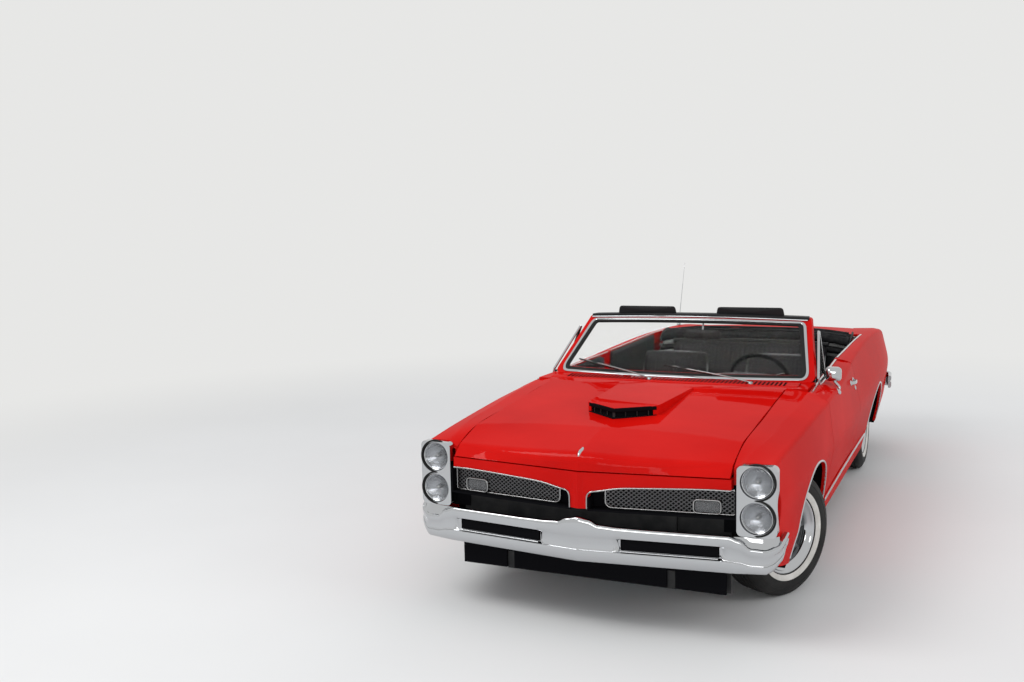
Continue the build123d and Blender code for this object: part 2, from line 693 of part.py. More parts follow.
# Valance: the dark panel under the front bumper, between and beside its brackets
with BuildPart() as front_valance:
    block((rest_gap - 385, 385 - rest_gap), (-784, -770 - rest_gap), (222, 345))
    paired_blocks((425 + rest_gap, 660), (-784, -770 - rest_gap), (222, 345))
    paired_blocks((425 + rest_gap, 500), (-771, -760), (222, 290))
save(front_valance, "front_valance")

# Frame: two rails narrow at the front wheels, wide under the cabin and raised over the rear axle
rail_z = (215, 300)
front_rail_x = (365, 425)
mid_rail_x = (560, 630)
rear_rail_x = (385, 455)
rear_rail_z = (430, 510)
jack_pad_height = 8
crossmember_z = (rail_z[0], 250)
with BuildPart() as chassis_frame:
    paired_blocks(front_rail_x, (-760, 560), rail_z)
    paired_blocks((front_rail_x[0], mid_rail_x[1]), (480, 600), rail_z)
    paired_blocks(mid_rail_x, (560, 2400), rail_z)
    paired_blocks((rear_rail_x[0], mid_rail_x[1]), (2330, 2440), (rail_z[0], rail_z[1]))
    paired_blocks(rear_rail_x, (2360, 2440), (rail_z[0], rear_rail_z[1]))
    paired_blocks(rear_rail_x, (2360, 4150), rear_rail_z)
    for y, z in ((-740, rail_z), (20, crossmember_z), (560, crossmember_z), (1010, crossmember_z), (2370, crossmember_z),
                 (3120, rear_rail_z), (4110, rear_rail_z)):
        reach = front_rail_x[1] if y < 600 else mid_rail_x[1] if y < 2400 else rear_rail_x[1]
        block((-reach, reach), (y - 30, y + 30), z)
    paired_blocks((mid_rail_x[0] + 10, mid_rail_x[1] - 10), (1650, 1750), (rail_z[0] - jack_pad_height, rail_z[0]))
save(chassis_frame, "chassis_frame")

# Floor pan: drive tunnel, inner sills and the step up to the rear seat over the frame's rear rails
floor_half_width = cabin_half_width - 5
tunnel_half_width = 118
tunnel_top_z = 470
firewall_y = 500
step_y = 2330
bulkhead_y = 2760
seat_pan_z = (rear_rail_z[1] + rest_gap, rear_rail_z[1] + 14)
arch_inner_x = 600
with BuildPart() as floor_pan:
    block((-floor_half_width, floor_half_width), (firewall_y, step_y), floor_z)
    block((-tunnel_half_width, tunnel_half_width), (firewall_y, step_y), (floor_z[0], tunnel_top_z))
    block((rest_gap - arch_inner_x, arch_inner_x - rest_gap), (step_y - 14, step_y), (floor_z[0], seat_pan_z[1]))
    block((rest_gap - arch_inner_x, arch_inner_x - rest_gap), (step_y - 14, bulkhead_y - rest_gap), seat_pan_z)
    block((14 - tunnel_half_width, tunnel_half_width - 14), (firewall_y - 1, step_y + 1), (200, tunnel_top_z - 14),
          mode=Mode.SUBTRACT)
    paired_blocks((floor_half_width - 39, floor_half_width - 27), (firewall_y, step_y), (floor_z[0], rocker_top_z - 4))
save(floor_pan, "floor_pan")

apron_x = (660, 672)

# Firewall between the engine bay and the cabin, up to the cowl
with BuildPart() as firewall:
    block((rest_gap - pillar_x[0], pillar_x[0] - rest_gap), (firewall_y - 14 - rest_gap, firewall_y - rest_gap), (floor_z[0], cowl_z[0] - rest_gap))
    block((-tunnel_half_width, tunnel_half_width), (firewall_y - 20, firewall_y), (200, tunnel_top_z + 5),
          mode=Mode.SUBTRACT)
    paired_blocks((apron_x[1], 750), (firewall_y - 20, firewall_y), (870, 990), mode=Mode.SUBTRACT)
save(firewall, "firewall")

# Inner fenders: an upright apron each side of the engine bay, with a shelf that carries the fender's flange
shelf_rows = ((-690, 748), (-400, 815), (0, 836), (400, 866))
with BuildPart() as inner_fenders:
    prism_yz([(-735, 600), (-735, 722), (-560, 800), (-241, 826), (firewall_y - 15, 860), (firewall_y - 15, 690),
              (380, 690), (250, 700), (-330, 700), (-480, 600)], apron_x)
    for y, z in shelf_rows:
        block((apron_x[1] - 1, hood_half_width - rest_gap), (y - 40, y + 40), (z - 35, z))
    block((front_rail_x[1] + rest_gap, apron_x[1]), (-735, -723), (rail_z[0], 700))
    mirror(about=Plane.YZ)
save(inner_fenders, "inner_fenders")

# Radiator and its support between the front rails
with BuildPart() as radiator:
    block((rest_gap - front_rail_x[1], front_rail_x[1] - rest_gap), (-756, -700), (rail_z[1] + 8, 690))
    block((-400, 400), (-700, -660), (330, 660))
    paired_blocks((370, 420), (-750, -720), (rail_z[1] + rest_gap, rail_z[1] + 9))
save(radiator, "radiator")

# Engine and gearbox as one plain block
with BuildPart() as engine:
    block((-250, 250), (-420, 330), (330, 780))
    block((-98, 98), (330, 1030), (255, 445))
    paired_blocks((200, front_rail_x[0] - rest_gap), (-20, 60), (crossmember_z[1] + rest_gap, 340))
    block((-40, 40), (985, 1035), (crossmember_z[1] + rest_gap, 260))
save(engine, "engine")

# Rear inner wheel arches, each a closed box open to its wheel
arch_box_y = (2555, 3345)
arch_box_z = (686, 700)
with BuildPart() as rear_wheelhouses:
    for wall_y in ((arch_box_y[0], arch_box_y[0] + 14), (arch_box_y[1] - 14, arch_box_y[1])):
        block((arch_inner_x, 840), wall_y, (rocker_top_z, arch_box_z[1]))
    block((arch_inner_x, arch_inner_x + 14), arch_box_y, (rocker_top_z, arch_box_z[1]))
    block((arch_inner_x, 850), arch_box_y, arch_box_z)
    mirror(about=Plane.YZ)
save(rear_wheelhouses, "rear_wheelhouses")

# Rear bulkhead behind the rear seat, and the well that the folded top lies in
well_z = (arch_box_z[1] + rest_gap, arch_box_z[1] + 14)
well_half_width = cabin_half_width - 4
with BuildPart() as rear_bulkhead:
    block((rest_gap - arch_inner_x, arch_inner_x - rest_gap), (bulkhead_y, bulkhead_y + 14), (seat_pan_z[0], well_z[1]))
    block((-well_half_width, well_half_width), (bulkhead_y, bulkhead_y + 14), (well_z[0], 860))
    block((-well_half_width, well_half_width), (bulkhead_y, deck_front_y), well_z)
    block((-trunk_half_width, trunk_half_width), (deck_front_y + 6, deck_front_y + 20),
          (well_z[0], deck_z[0] - rest_gap))
    block((-trunk_half_width, trunk_half_width), (deck_front_y - 1, deck_front_y + 8), well_z)
save(rear_bulkhead, "rear_bulkhead")

# Trunk floor between the rear inner wheel arches
trunk_floor_z = seat_pan_z
with BuildPart() as trunk_floor:
    block((rest_gap - arch_inner_x, arch_inner_x - rest_gap), (bulkhead_y + 14 + rest_gap, 4172 - rest_gap),
          trunk_floor_z)
    block((-400, 400), (4160, 4172 - rest_gap), (trunk_floor_z[0], 560))
save(trunk_floor, "trunk_floor")

# Fuel tank under the trunk floor
with BuildPart() as fuel_tank:
    block((-350, 350), (3180, 4060), (330, trunk_floor_z[0] - rest_gap))
    fillet(fuel_tank.edges().filter_by(Axis.Z), radius=60)
save(fuel_tank, "fuel_tank")

# Exhaust: a pipe and a muffler each side
pipe_x = 300
pipe_z = 190
tail_pipe_z = 300
pipe_radius = 22
pipe_front_y = 160
tail_tip_y = (4130, 4290)
tail_tip_radius = 25
manifold_z = 400
with BuildPart() as exhaust:
    for side in (1, -1):
        route = ((pipe_front_y, pipe_z), (3060, pipe_z), (3200, tail_pipe_z), (4280, tail_pipe_z))
        for (y0, z0), (y1, z1) in zip(route, route[1:]):
            rod((side * pipe_x, y0, z0), (side * pipe_x, y1, z1), pipe_radius)
        for y, z in route[1:-1]:
            with Locations((side * pipe_x, at_y(y), z)):
                Sphere(pipe_radius)
        rod((side * pipe_x, pipe_front_y, pipe_z - 26), (side * pipe_x, pipe_front_y, manifold_z + 26), pipe_radius + 4)
        rod((side * (250 + rest_gap), pipe_front_y, manifold_z), (side * pipe_x, pipe_front_y, manifold_z), pipe_radius)
        block((side * pipe_x - 90, side * pipe_x + 90), (1400, 1950), (pipe_z - 42, pipe_z + 42))
        for y in (1010, 2370):
            block((side * pipe_x - 10, side * pipe_x + 10), (y - 20, y + 20), (pipe_z, crossmember_z[0] - rest_gap))
        block((side * pipe_x - 10, side * pipe_x + 10), (4100, 4120), (tail_pipe_z, rear_rail_z[0] - rest_gap))
        rod((side * pipe_x, tail_tip_y[0], tail_pipe_z), (side * pipe_x, tail_tip_y[1], tail_pipe_z), tail_tip_radius)
save(exhaust, "exhaust")

# Rear axle with its differential, springs and drive shaft
axle_radius = 42
drum_profile = [(-70, 0), (-70, 60), (-52, 60), (-52, 112), (-4, 112), (-4, 30), (40, 30), (40, 0)]
with BuildPart() as rear_suspension:
    rod((-wheel_x + 60, rear_axle, axle_z), (wheel_x - 60, rear_axle, axle_z), axle_radius)
    with Locations((0, at_y(rear_axle), axle_z)):
        Sphere(125)
    rod((0, 1060, 345), (0, rear_axle, axle_z), 36)
    for side in (1, -1):
        rod((side * 420, rear_axle, axle_z), (side * 420, rear_axle, rear_rail_z[0] - rest_gap), 55)
        ring(wheel_plane(side, False), drum_profile)
        rod((side * 595, 2450, 275), (side * 540, rear_axle, axle_z - 10), 20)
save(rear_suspension, "rear_suspension")

# Front suspension arms and springs, fixed at ride height
arm_gap = 0.5
lower_arm_z = (184, 200)
upper_arm_z = (440, 454)
with BuildPart() as front_suspension:
    for side in (1, -1):
        for z, root in ((lower_arm_z, 110), (upper_arm_z, 90)):
            prism_xy([(side * (front_rail_x[1] + rest_gap), -root), (side * (kingpin_x + 24), -24),
                      (side * (kingpin_x + 24), 24), (side * (front_rail_x[1] + rest_gap), root)], z)
        block(tuple(sorted((side * (front_rail_x[1] + rest_gap), side * (front_rail_x[1] + 14)))), (-90, 90),
              (lower_arm_z[0], upper_arm_z[1]))
        rod((side * 510, 0, lower_arm_z[1] - 2), (side * 510, 0, upper_arm_z[0] + 2), 42)
save(front_suspension, "front_suspension")


# Wheels: a knuckle at the front, a rim and a tyre on every corner
def knuckle(side):
    """Kingpin post, spindle and brake drum of a steered wheel."""
    plane = wheel_plane(side, True)
    rod((side * kingpin_x, 0, lower_arm_z[1] + arm_gap), (side * kingpin_x, 0, upper_arm_z[0] - arm_gap), 22)
    ring(plane, drum_profile)


half = tyre_width / 2
rim_profile = [(-half + 14, rim_inner_radius), (half - 16, rim_inner_radius), (half - 16, rim_inner_radius + 4),
               (half - 8, bead_radius - 8), (half - 8, bead_radius - rest_gap), (half - 24, bead_radius - rest_gap),
               (half - 36, 184), (24 - half, 184), (24 - half, bead_radius - rest_gap),
               (14 - half, bead_radius - rest_gap)]
tyre_profile = [(18 - half, bead_radius), (half - 18, bead_radius), (half - 6, bead_radius + 12), (half, 245),
                (half - 10, 300), (half - 30, tyre_radius), (30 - half, tyre_radius), (10 - half, 300),
                (-half, 245), (6 - half, bead_radius + 12)]
spoke_face = 62
spoke_depth = 26
hub_bore_radius = 30
spokes = 5


def rim(side, front):
    """A rim with five broad spokes round a hub."""
    plane = wheel_plane(side, front)
    ring(plane, rim_profile)
    ring(plane, [(spoke_face - 50, hub_bore_radius + rest_gap), (spoke_face + 6, hub_bore_radius + rest_gap),
                 (spoke_face + 6, hub_radius), (spoke_face - 50, hub_radius)])
    ring(plane, [(spoke_face - 12, 0), (spoke_face + 14, 0), (spoke_face + 14, hub_bore_radius + 8),
                 (spoke_face - 12, hub_bore_radius + 8)])
    with BuildSketch(plane.offset(spoke_face - spoke_depth)) as blades:
        with PolarLocations(0, spokes):
            Polygon((hub_radius - 8, -20), (rim_inner_radius + 3, -38), (rim_inner_radius + 3, 38),
                    (hub_radius - 8, 20), align=None)
    extrude(blades.sketch, amount=spoke_depth)


corners = (("front_left", 1, True), ("front_right", -1, True), ("rear_left", 1, False), ("rear_right", -1, False))
for name, side, front in corners:
    if front:
        with BuildPart() as post:
            knuckle(side)
        save(post, f"knuckle_{name[6:]}")
    with BuildPart() as wheel_rim:
        rim(side, front)
    save(wheel_rim, f"rim_{name}")
    with BuildPart() as tyre:
        ring(wheel_plane(side, front), tyre_profile)
    save(tyre, f"tyre_{name}")

# Dashboard across the cabin, with the steering column
dash_half_width = cabin_half_width - 34
column_x = 370
wheel_centre_y = 1330
wheel_centre_z = 880
column_tilt = 24
steering_radius = 195
wheel_neck = 55
column_axis = Vector(0, cos(radians(column_tilt)), sin(radians(column_tilt)))
column_end = Vector(column_x, at_y(wheel_centre_y), wheel_centre_z)
with BuildPart() as dashboard:
    prism_yz([(firewall_y, 860), (560, 900), (780, 930), (900, 955), (960, 940), (975, 880), (950, 690),
              (880, 660), (firewall_y, 660)], (-dash_half_width, dash_half_width))
    with BuildSketch(Plane(origin=column_end - column_axis * (wheel_neck + rest_gap), z_dir=-column_axis)) as section:
        Circle(34)
    extrude(section.sketch, amount=400)
save(dashboard, "dashboard")

with BuildPart() as steering_wheel:
    with BuildSketch(Plane(origin=column_end, x_dir=(1, 0, 0), z_dir=Vector(1, 0, 0).cross(column_axis))) as grip:
        with Locations((steering_radius - 13, 0)):
            Circle(13)
    revolve(grip.sketch, axis=Axis(column_end, column_axis))
    with BuildSketch(Plane(origin=column_end - column_axis * 34, x_dir=(1, 0, 0), z_dir=column_axis)) as hub:
        Circle(44)
    extrude(hub.sketch, amount=44)
    with BuildSketch(Plane(origin=column_end - column_axis * 8, x_dir=(1, 0, 0), z_dir=column_axis)) as arms:
        for angle in (-18, 198, 270):
            with Locations(Rotation(0, 0, angle)):
                Rectangle(steering_radius - 12, 26, align=(Align.MIN, Align.CENTER))
    extrude(arms.sketch, amount=10)
    with BuildSketch(Plane(origin=column_end - column_axis * wheel_neck, x_dir=(1, 0, 0), z_dir=column_axis)) as neck:
        Circle(20)
    extrude(neck.sketch, amount=30)
save(steering_wheel, "steering_wheel")

# Seats
seat_x = 375
seat_half_width = 255
with BuildPart() as front_seats:
    for side in (1, -1):
        middle = side * seat_x
        block((middle - 230, middle + 230), (1400, 1900), (floor_z[1] + rest_gap, 400))
        prism_yz([(1370, 400), (1370, 540), (1900, 500), (1960, 400)],
                 (middle - seat_half_width, middle + seat_half_width))
        prism_yz([(1850, 430), (1880, 505), (1900, 540), (1985, 930), (2020, 955), (2080, 950), (2100, 900),
                  (2010, 430)], (middle - seat_half_width, middle + seat_half_width))
save(front_seats, "front_seats")

with BuildPart() as rear_seat:
    block((-590, 590), (2290, 2640), (seat_pan_z[1] + rest_gap, 610))
    prism_yz([(2570, seat_pan_z[1] + rest_gap), (2640, 940), (2690, 972), (2745, 965), (bulkhead_y - rest_gap, 900),
              (bulkhead_y - rest_gap, seat_pan_z[1] + rest_gap)], (-590, 590))
save(rear_seat, "rear_seat")

with BuildPart() as console:
    prism_yz([(980, tunnel_top_z + rest_gap), (980, 560), (1500, 545), (1960, 600), (1960, tunnel_top_z + rest_gap)],
             (-100, 100))
    rod((0, 1150, 540), (0, 1120, 660), 9)
    with Locations((0, at_y(1120), 664)):
        Sphere(22)
save(console, "console")

# Folded top: one closed form in its well
with BuildPart() as folded_top:
    block((-735, 735), (2795, deck_front_y - 12), (well_z[1] + rest_gap, 1030))
    fillet(folded_top.edges().filter_by(Axis.Z), radius=60)
    fillet(folded_top.faces().sort_by(Axis.Z)[-1].edges(), radius=40)
save(folded_top, "folded_top")

# Visors, standing up over the header, and the inside mirror
with BuildPart() as visors:
    for low, high in ((-519, -125), (125, 552)):
        prism_yz([(1180, 1290), (1196, 1290), (1186, 1356), (1174, 1356)], (low, high))
    rod((60, 1150, 1290), (60, 1110, 1215), 7)
    block((-60, 180), (1100, 1125), (1160, 1218))
    add(windshield_frame.part, mode=Mode.SUBTRACT)
save(visors, "visors")

# Wipers: two arms and blades low on the glass
wiper_pivot_x = (-127, 470)
wiper_reach = 330
with BuildPart() as wipers:
    for x in wiper_pivot_x:
        rod((x, 610, cowl_z[1] + rest_gap), (x, 610, cowl_z[1] + 26), 14)
        rod((x, 610, cowl_z[1] + 20), (x - wiper_reach, 700, cowl_z[1] + 40), 6)
save(wipers, "wipers")

# Antenna on the right rear body side
antenna_foot = (-800, 3590, 984)
with BuildPart() as antenna:
    rod(antenna_foot, (-800, 3598, 1010), 16)
    rod((-800, 3596, 1005), (-800, 3788, 1523), 4)
    add(quarter_right.part, mode=Mode.SUBTRACT)
save(antenna, "antenna")

# Vent windows stand on the doors behind the windshield posts and lean in with them
vent_base = Vector(818, at_y(790), 940)
vent_lean = Vector(-60, 0, 270).normalized()
with BuildPart() as vent_left:
    with BuildSketch(Plane(origin=vent_base, x_dir=(0, 1, 0), z_dir=Vector(0, 1, 0).cross(vent_lean))) as pane:
        with BuildLine():
            Polyline((0, 0), (0, 40), (330, 285), (345, 285), (235, 60), (235, 0), close=True)
        make_face()
    extrude(pane.sketch, amount=10)
    add(door_left.part, mode=Mode.SUBTRACT)
save(vent_left, "vent_window_left")
vent_right = mirrored(vent_left, "vent_window_right")

# Driver's outside mirror on the door
with BuildPart() as door_mirror:
    rod((866, 880, 900), (884, 880, 1000), 10)
    rod((884, 870, 1003), (884, 950, 1006), 44)
    add(door_left.part, mode=Mode.SUBTRACT)
save(door_mirror, "door_mirror")
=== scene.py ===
import math

import bmesh
import bpy
from mathutils import Matrix, Vector
from mathutils.bvhtree import BVHTree

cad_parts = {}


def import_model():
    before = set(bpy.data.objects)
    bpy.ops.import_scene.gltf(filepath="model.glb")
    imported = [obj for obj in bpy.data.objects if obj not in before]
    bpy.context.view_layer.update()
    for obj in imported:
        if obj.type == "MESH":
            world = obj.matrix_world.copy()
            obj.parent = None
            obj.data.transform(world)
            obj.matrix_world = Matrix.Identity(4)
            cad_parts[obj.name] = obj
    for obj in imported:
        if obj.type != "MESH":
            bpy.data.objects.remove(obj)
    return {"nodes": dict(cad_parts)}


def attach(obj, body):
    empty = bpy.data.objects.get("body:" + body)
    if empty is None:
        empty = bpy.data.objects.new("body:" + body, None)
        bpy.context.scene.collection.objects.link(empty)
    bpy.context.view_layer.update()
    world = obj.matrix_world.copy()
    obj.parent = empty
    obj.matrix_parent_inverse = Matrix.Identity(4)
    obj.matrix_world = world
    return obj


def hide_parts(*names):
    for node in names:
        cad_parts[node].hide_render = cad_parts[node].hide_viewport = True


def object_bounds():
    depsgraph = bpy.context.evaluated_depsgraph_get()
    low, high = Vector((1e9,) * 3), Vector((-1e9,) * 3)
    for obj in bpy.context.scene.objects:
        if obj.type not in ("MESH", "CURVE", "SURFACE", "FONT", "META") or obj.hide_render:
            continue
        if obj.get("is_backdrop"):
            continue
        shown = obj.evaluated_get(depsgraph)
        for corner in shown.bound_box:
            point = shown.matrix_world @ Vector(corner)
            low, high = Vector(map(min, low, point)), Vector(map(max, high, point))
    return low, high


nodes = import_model()["nodes"]
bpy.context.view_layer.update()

# Sizes in metres. The car faces -Y and its left side is +X. A place is written (x, y, z) with its y
# counted from the front axle to the rear; spot turns it into a point of the frame.
FRONT_AXLE_Y = -1.689
WHEELBASE = 2.921
AXLE_Z = 0.32
STEER_AT_REST = -28.5
NOSE_Y = -0.905
NOSE_SWEEP = 0.13
SIDES = ((1, "left"), (-1, "right"))
OUTWARD = {1: 0, -1: 180}
UP, FORWARD = Vector((0, 0, 1)), Vector((0, -1, 0))


# Places
def spot(x, y, z):
    """Frame point of a place."""
    return Vector((x, FRONT_AXLE_Y + y, z))


def spots(places):
    """Frame points of places; points of the frame stay as they are."""
    return [place if isinstance(place, Vector) else spot(*place) for place in places]


def placed(x, y, z, turn=0, axis="Z"):
    """Matrix that stands at a place, turned by degrees about an axis."""
    return Matrix.Translation(spot(x, y, z)) @ Matrix.Rotation(math.radians(turn), 4, axis)


def aimed(point, direction, keep="Z"):
    """Matrix at a frame point whose x runs along a direction."""
    return Matrix.Translation(point) @ direction.to_track_quat("X", keep).to_matrix().to_4x4()


def on_side(point, side):
    """A point of the left side, or its mirror image on the right."""
    return Vector((side * point.x, point.y, point.z))


# Materials
NOISE, CELLS, WAVES = "ShaderNodeTexNoise", "ShaderNodeTexVoronoi", "ShaderNodeTexWave"


def rgba(tone):
    """A colour from three parts, or a grey from one."""
    return (*tone, 1) if isinstance(tone, tuple) else (tone, tone, tone, 1)


def add_node(tree, kind, **settings):
    """A shader node with some of its attributes or inputs set."""
    node = tree.nodes.new(kind)
    for key, value in settings.items():
        if hasattr(node, key):
            setattr(node, key, value)
        else:
            node.inputs[key.replace("_", " ")].default_value = value
    return node


def texture(tree, kind, scale, **settings):
    """A texture in object coordinates."""
    source = add_node(tree, kind, Scale=scale, **settings)
    tree.links.new(tree.nodes.new("ShaderNodeTexCoord").outputs["Object"], source.inputs["Vector"])
    return source


def look(name, slot, color, roughness=0.5, metallic=0.0, tones=None, wear=None, relief=None, **shader):
    """A Principled material; its slot argument is not used. tones (low, high, scale) drifts the colour, wear
    (low, high, scale) the roughness, and relief (texture, scale, strength, distance) bumps."""
    material = bpy.data.materials.new(name)
    material.use_nodes = True
    tree = material.node_tree
    join = tree.links.new
    principled = tree.nodes["Principled BSDF"]
    shader |= {"Base_Color": rgba(color), "Roughness": roughness, "Metallic": metallic}
    for socket, value in shader.items():
        principled.inputs[socket.replace("_", " ")].default_value = value
    if tones:
        ramp = tree.nodes.new("ShaderNodeValToRGB")
        for stop, position, tone in zip(ramp.color_ramp.elements, (0.35, 0.65), tones):
            stop.position, stop.color = position, rgba(tone)
        join(texture(tree, NOISE, tones[2], Detail=4.0).outputs["Fac"], ramp.inputs["Fac"])
        join(ramp.outputs["Color"], principled.inputs["Base Color"])
    if wear:
        spread = add_node(tree, "ShaderNodeMapRange", To_Min=wear[0], To_Max=wear[1])
        join(texture(tree, NOISE, wear[2], Detail=5.0).outputs["Fac"], spread.inputs["Value"])
        join(spread.outputs["Result"], principled.inputs["Roughness"])
    if relief:
        kind, scale, strength, *distance = relief
        bump = add_node(tree, "ShaderNodeBump", Strength=strength,
                        Distance=distance[0] if distance else 0.001)
        join(texture(tree, kind, scale).outputs["Distance" if kind == CELLS else "Fac"],
             bump.inputs["Height"])
        join(bump.outputs["Normal"], principled.inputs["Normal"])
    return material


paint = look("red_paint", "body_paint", (0.52, 0.004, 0.003), 0.4,
             tones=((0.48, 0.003, 0.002), (0.57, 0.006, 0.004), 1.6), relief=(NOISE, 380, 0.02, 0.0003),
             Coat_Weight=0.17, Coat_Roughness=0.015, Coat_IOR=1.5, Specular_IOR_Level=0.0)
chrome = look("chrome", "chrome", (0.52, 0.53, 0.545), 0.05, 1.0, wear=(0.03, 0.09, 14))
worn_chrome = look("worn_chrome", "chrome", 0.36, 0.2, 1.0, wear=(0.14, 0.32, 30))
steel = look("steel", "engine_metal", (0.26, 0.25, 0.24), 0.5, 0.9, wear=(0.35, 0.65, 25),
             relief=(NOISE, 90, 0.2))
black_paint = look("black_paint", "black_paint", (0.02, 0.02, 0.022), 0.45,
                   tones=((0.014, 0.014, 0.015), 0.03, 12), relief=(NOISE, 160, 0.12), Specular_IOR_Level=0.2)
deep_black = look("deep_black", "black_paint", (0.006, 0.006, 0.007), wear=(0.4, 0.6, 40),
                  Specular_IOR_Level=0.0)
rubber = look("rubber", "chrome", 0.012, 0.6, wear=(0.5, 0.75, 60), relief=(NOISE, 220, 0.2),
              Specular_IOR_Level=0.15)
tyre_rubber = look("tyre_rubber", "tyre", 0.018, 0.62, tones=(0.013, (0.026, 0.025, 0.024), 9),
                   relief=(NOISE, 260, 0.25), Specular_IOR_Level=0.2)
whitewall = look("whitewall", "tyre", (0.62, 0.60, 0.56), 0.55,
                 tones=((0.56, 0.54, 0.50), (0.68, 0.66, 0.62), 14), relief=(NOISE, 200, 0.15))
vinyl = look("black_vinyl", "black_vinyl", (0.011, 0.011, 0.012), 0.42, wear=(0.34, 0.52, 8),
             relief=(CELLS, 420, 0.2, 0.0004), Specular_IOR_Level=0.14)
# Pale grey for the welt cords round the seat pads: a painted highlight standing for light on the seats'
# rounded edges.
piping_highlight = look("piping_highlight", "black_vinyl", (0.34, 0.35, 0.35), 0.4, relief=(NOISE, 300, 0.15))
dash_plastic = look("dash_pad", "dash_black", (0.030, 0.031, 0.033), wear=(0.42, 0.6, 6),
                    relief=(CELLS, 500, 0.2, 0.0004), Specular_IOR_Level=0.2)
carpet = look("carpet", "carpet", (0.016, 0.016, 0.017), 0.95, tones=(0.010, (0.028, 0.028, 0.030), 240),
              relief=(NOISE, 600, 0.9, 0.003), Specular_IOR_Level=0.0)
cloth = look("top_cloth", "top_cloth", (0.018, 0.018, 0.019), 0.8, tones=((0.012, 0.012, 0.013), 0.028, 30),
             relief=(NOISE, 700, 0.4), Specular_IOR_Level=0.05)
# Pale grey cloth for two folds of the top: a painted reflection of the sky on the shiny folded vinyl.
painted_reflection_cloth = look("top_painted_reflection", "top_cloth", (0.46, 0.46, 0.45), 0.75,
              tones=((0.38, 0.38, 0.37), (0.52, 0.52, 0.50), 22), relief=(NOISE, 500, 0.3),
              Specular_IOR_Level=0.2)
grille_bright = look("grille_bright", "chrome", (0.20, 0.20, 0.205), 0.3, 0.9, wear=(0.25, 0.45, 40))
wheel_grey = look("wheel_grey", "wheel_metal", (0.17, 0.175, 0.18), 0.38, 0.55, wear=(0.3, 0.48, 30),
                  relief=(NOISE, 500, 0.08))
wheel_silver = look("wheel_silver", "wheel_metal", 0.46, 0.3, 0.8, wear=(0.22, 0.38, 24))
reflector = look("reflector", "chrome", (0.33, 0.34, 0.36), 0.12, 1.0, wear=(0.08, 0.2, 20),
                 relief=(WAVES, 60, 0.15, 0.002))
glass = look("clear_glass", "glass", (0.90, 0.98, 0.95), 0.0, Transmission_Weight=1.0, IOR=1.45, Alpha=0.02)
lens_glass = look("lens_glass", "lamp_glass", (0.97, 0.98, 0.99), 0.04, relief=(WAVES, 110, 0.12),
                  Transmission_Weight=1.0, IOR=1.35, Alpha=0.5)
park_glass = look("park_glass", "lamp_glass", (0.42, 0.43, 0.44), 0.06, relief=(WAVES, 170, 0.3),
                  Transmission_Weight=0.85, IOR=1.4, Alpha=0.6)
park_back = look("park_back", "chrome", (0.16, 0.16, 0.165), 0.2, 0.8, wear=(0.15, 0.35, 60))
red_lens = look("red_lens", "red_lens", (0.26, 0.004, 0.006), 0.16, relief=(WAVES, 150, 0.25),
                Coat_Weight=0.12)
white_lens = look("white_lens", "lamp_glass", (0.75, 0.75, 0.74), 0.2, relief=(WAVES, 160, 0.2),
                  Coat_Weight=0.5)
engine_blue = look("engine_paint", "engine_metal", (0.10, 0.20, 0.26), 0.4, wear=(0.3, 0.5, 10),
                   relief=(NOISE, 60, 0.15))
dial_face = look("dial_face", "dash_black", 0.02, 0.35, tones=((0.015, 0.015, 0.016), 0.03, 40))
dial_marks = look("dial_marks", "dash_black", (0.6, 0.6, 0.55), 0.4,
                  tones=((0.55, 0.55, 0.5), (0.65, 0.65, 0.6), 40))
plate_blank = look("plate_blank", "chrome", (0.45, 0.45, 0.43), 0.35, 0.2,
                   tones=((0.42, 0.42, 0.40), (0.50, 0.50, 0.48), 18), relief=(NOISE, 80, 0.1))


# Shapes
def finish_piece(piece, material, body="root", slot=None, smooth=30, replaces=None, fill=None):
    """Material, smooth shading by angle and body for one piece, with the CAD nodes it replaces hidden; the
    slot and fill arguments are not used.
    """
    piece.data.materials.append(material)
    if smooth:
        piece.data.shade_smooth()
        piece.data.set_sharp_from_angle(angle=math.radians(smooth))
    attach(piece, body)
    if replaces:
        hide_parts(replaces)
    return piece


def add_object(name, vertices, faces, weld=True):
    """A mesh object in the scene, with its faces pointing outward."""
    mesh = bpy.data.meshes.new(name)
    mesh.from_pydata([tuple(v) for v in vertices], [], faces)
    shape = bmesh.new()
    shape.from_mesh(mesh)
    if weld:
        bmesh.ops.remove_doubles(shape, verts=shape.verts, dist=1e-6)
    bmesh.ops.recalc_face_normals(shape, faces=shape.faces)
    shape.to_mesh(mesh)
    shape.free()
    piece = bpy.data.objects.new(name, mesh)
    bpy.context.scene.collection.objects.link(piece)
    return piece


def ring_faces(rows, columns, close_rows=False, close_columns=True):
    """Quads of a grid of points, wrapped either way."""
    faces = []
    for i in range(rows if close_rows else rows - 1):
        for j in range(columns if close_columns else columns - 1):
            a, b, k = i * columns, (i + 1) % rows * columns, (j + 1) % columns
            faces.append((a + j, a + k, b + k, b + j))
    return faces


def end_faces(rows, columns):
    """The two end faces of a form made of rings."""
    return [tuple(range(columns)), tuple(range((rows - 1) * columns, rows * columns))]


def two_sheets(rows, columns):
    """Faces of two open grids of points, one after the other."""
    sheet = ring_faces(rows, columns, close_columns=False)
    return sheet + [tuple(i + rows * columns for i in face) for face in sheet]


def grid(name, rows):
    """An open sheet through rows of points."""
    return add_object(name, [p for row in rows for p in row],
                      ring_faces(len(rows), len(rows[0]), close_columns=False))


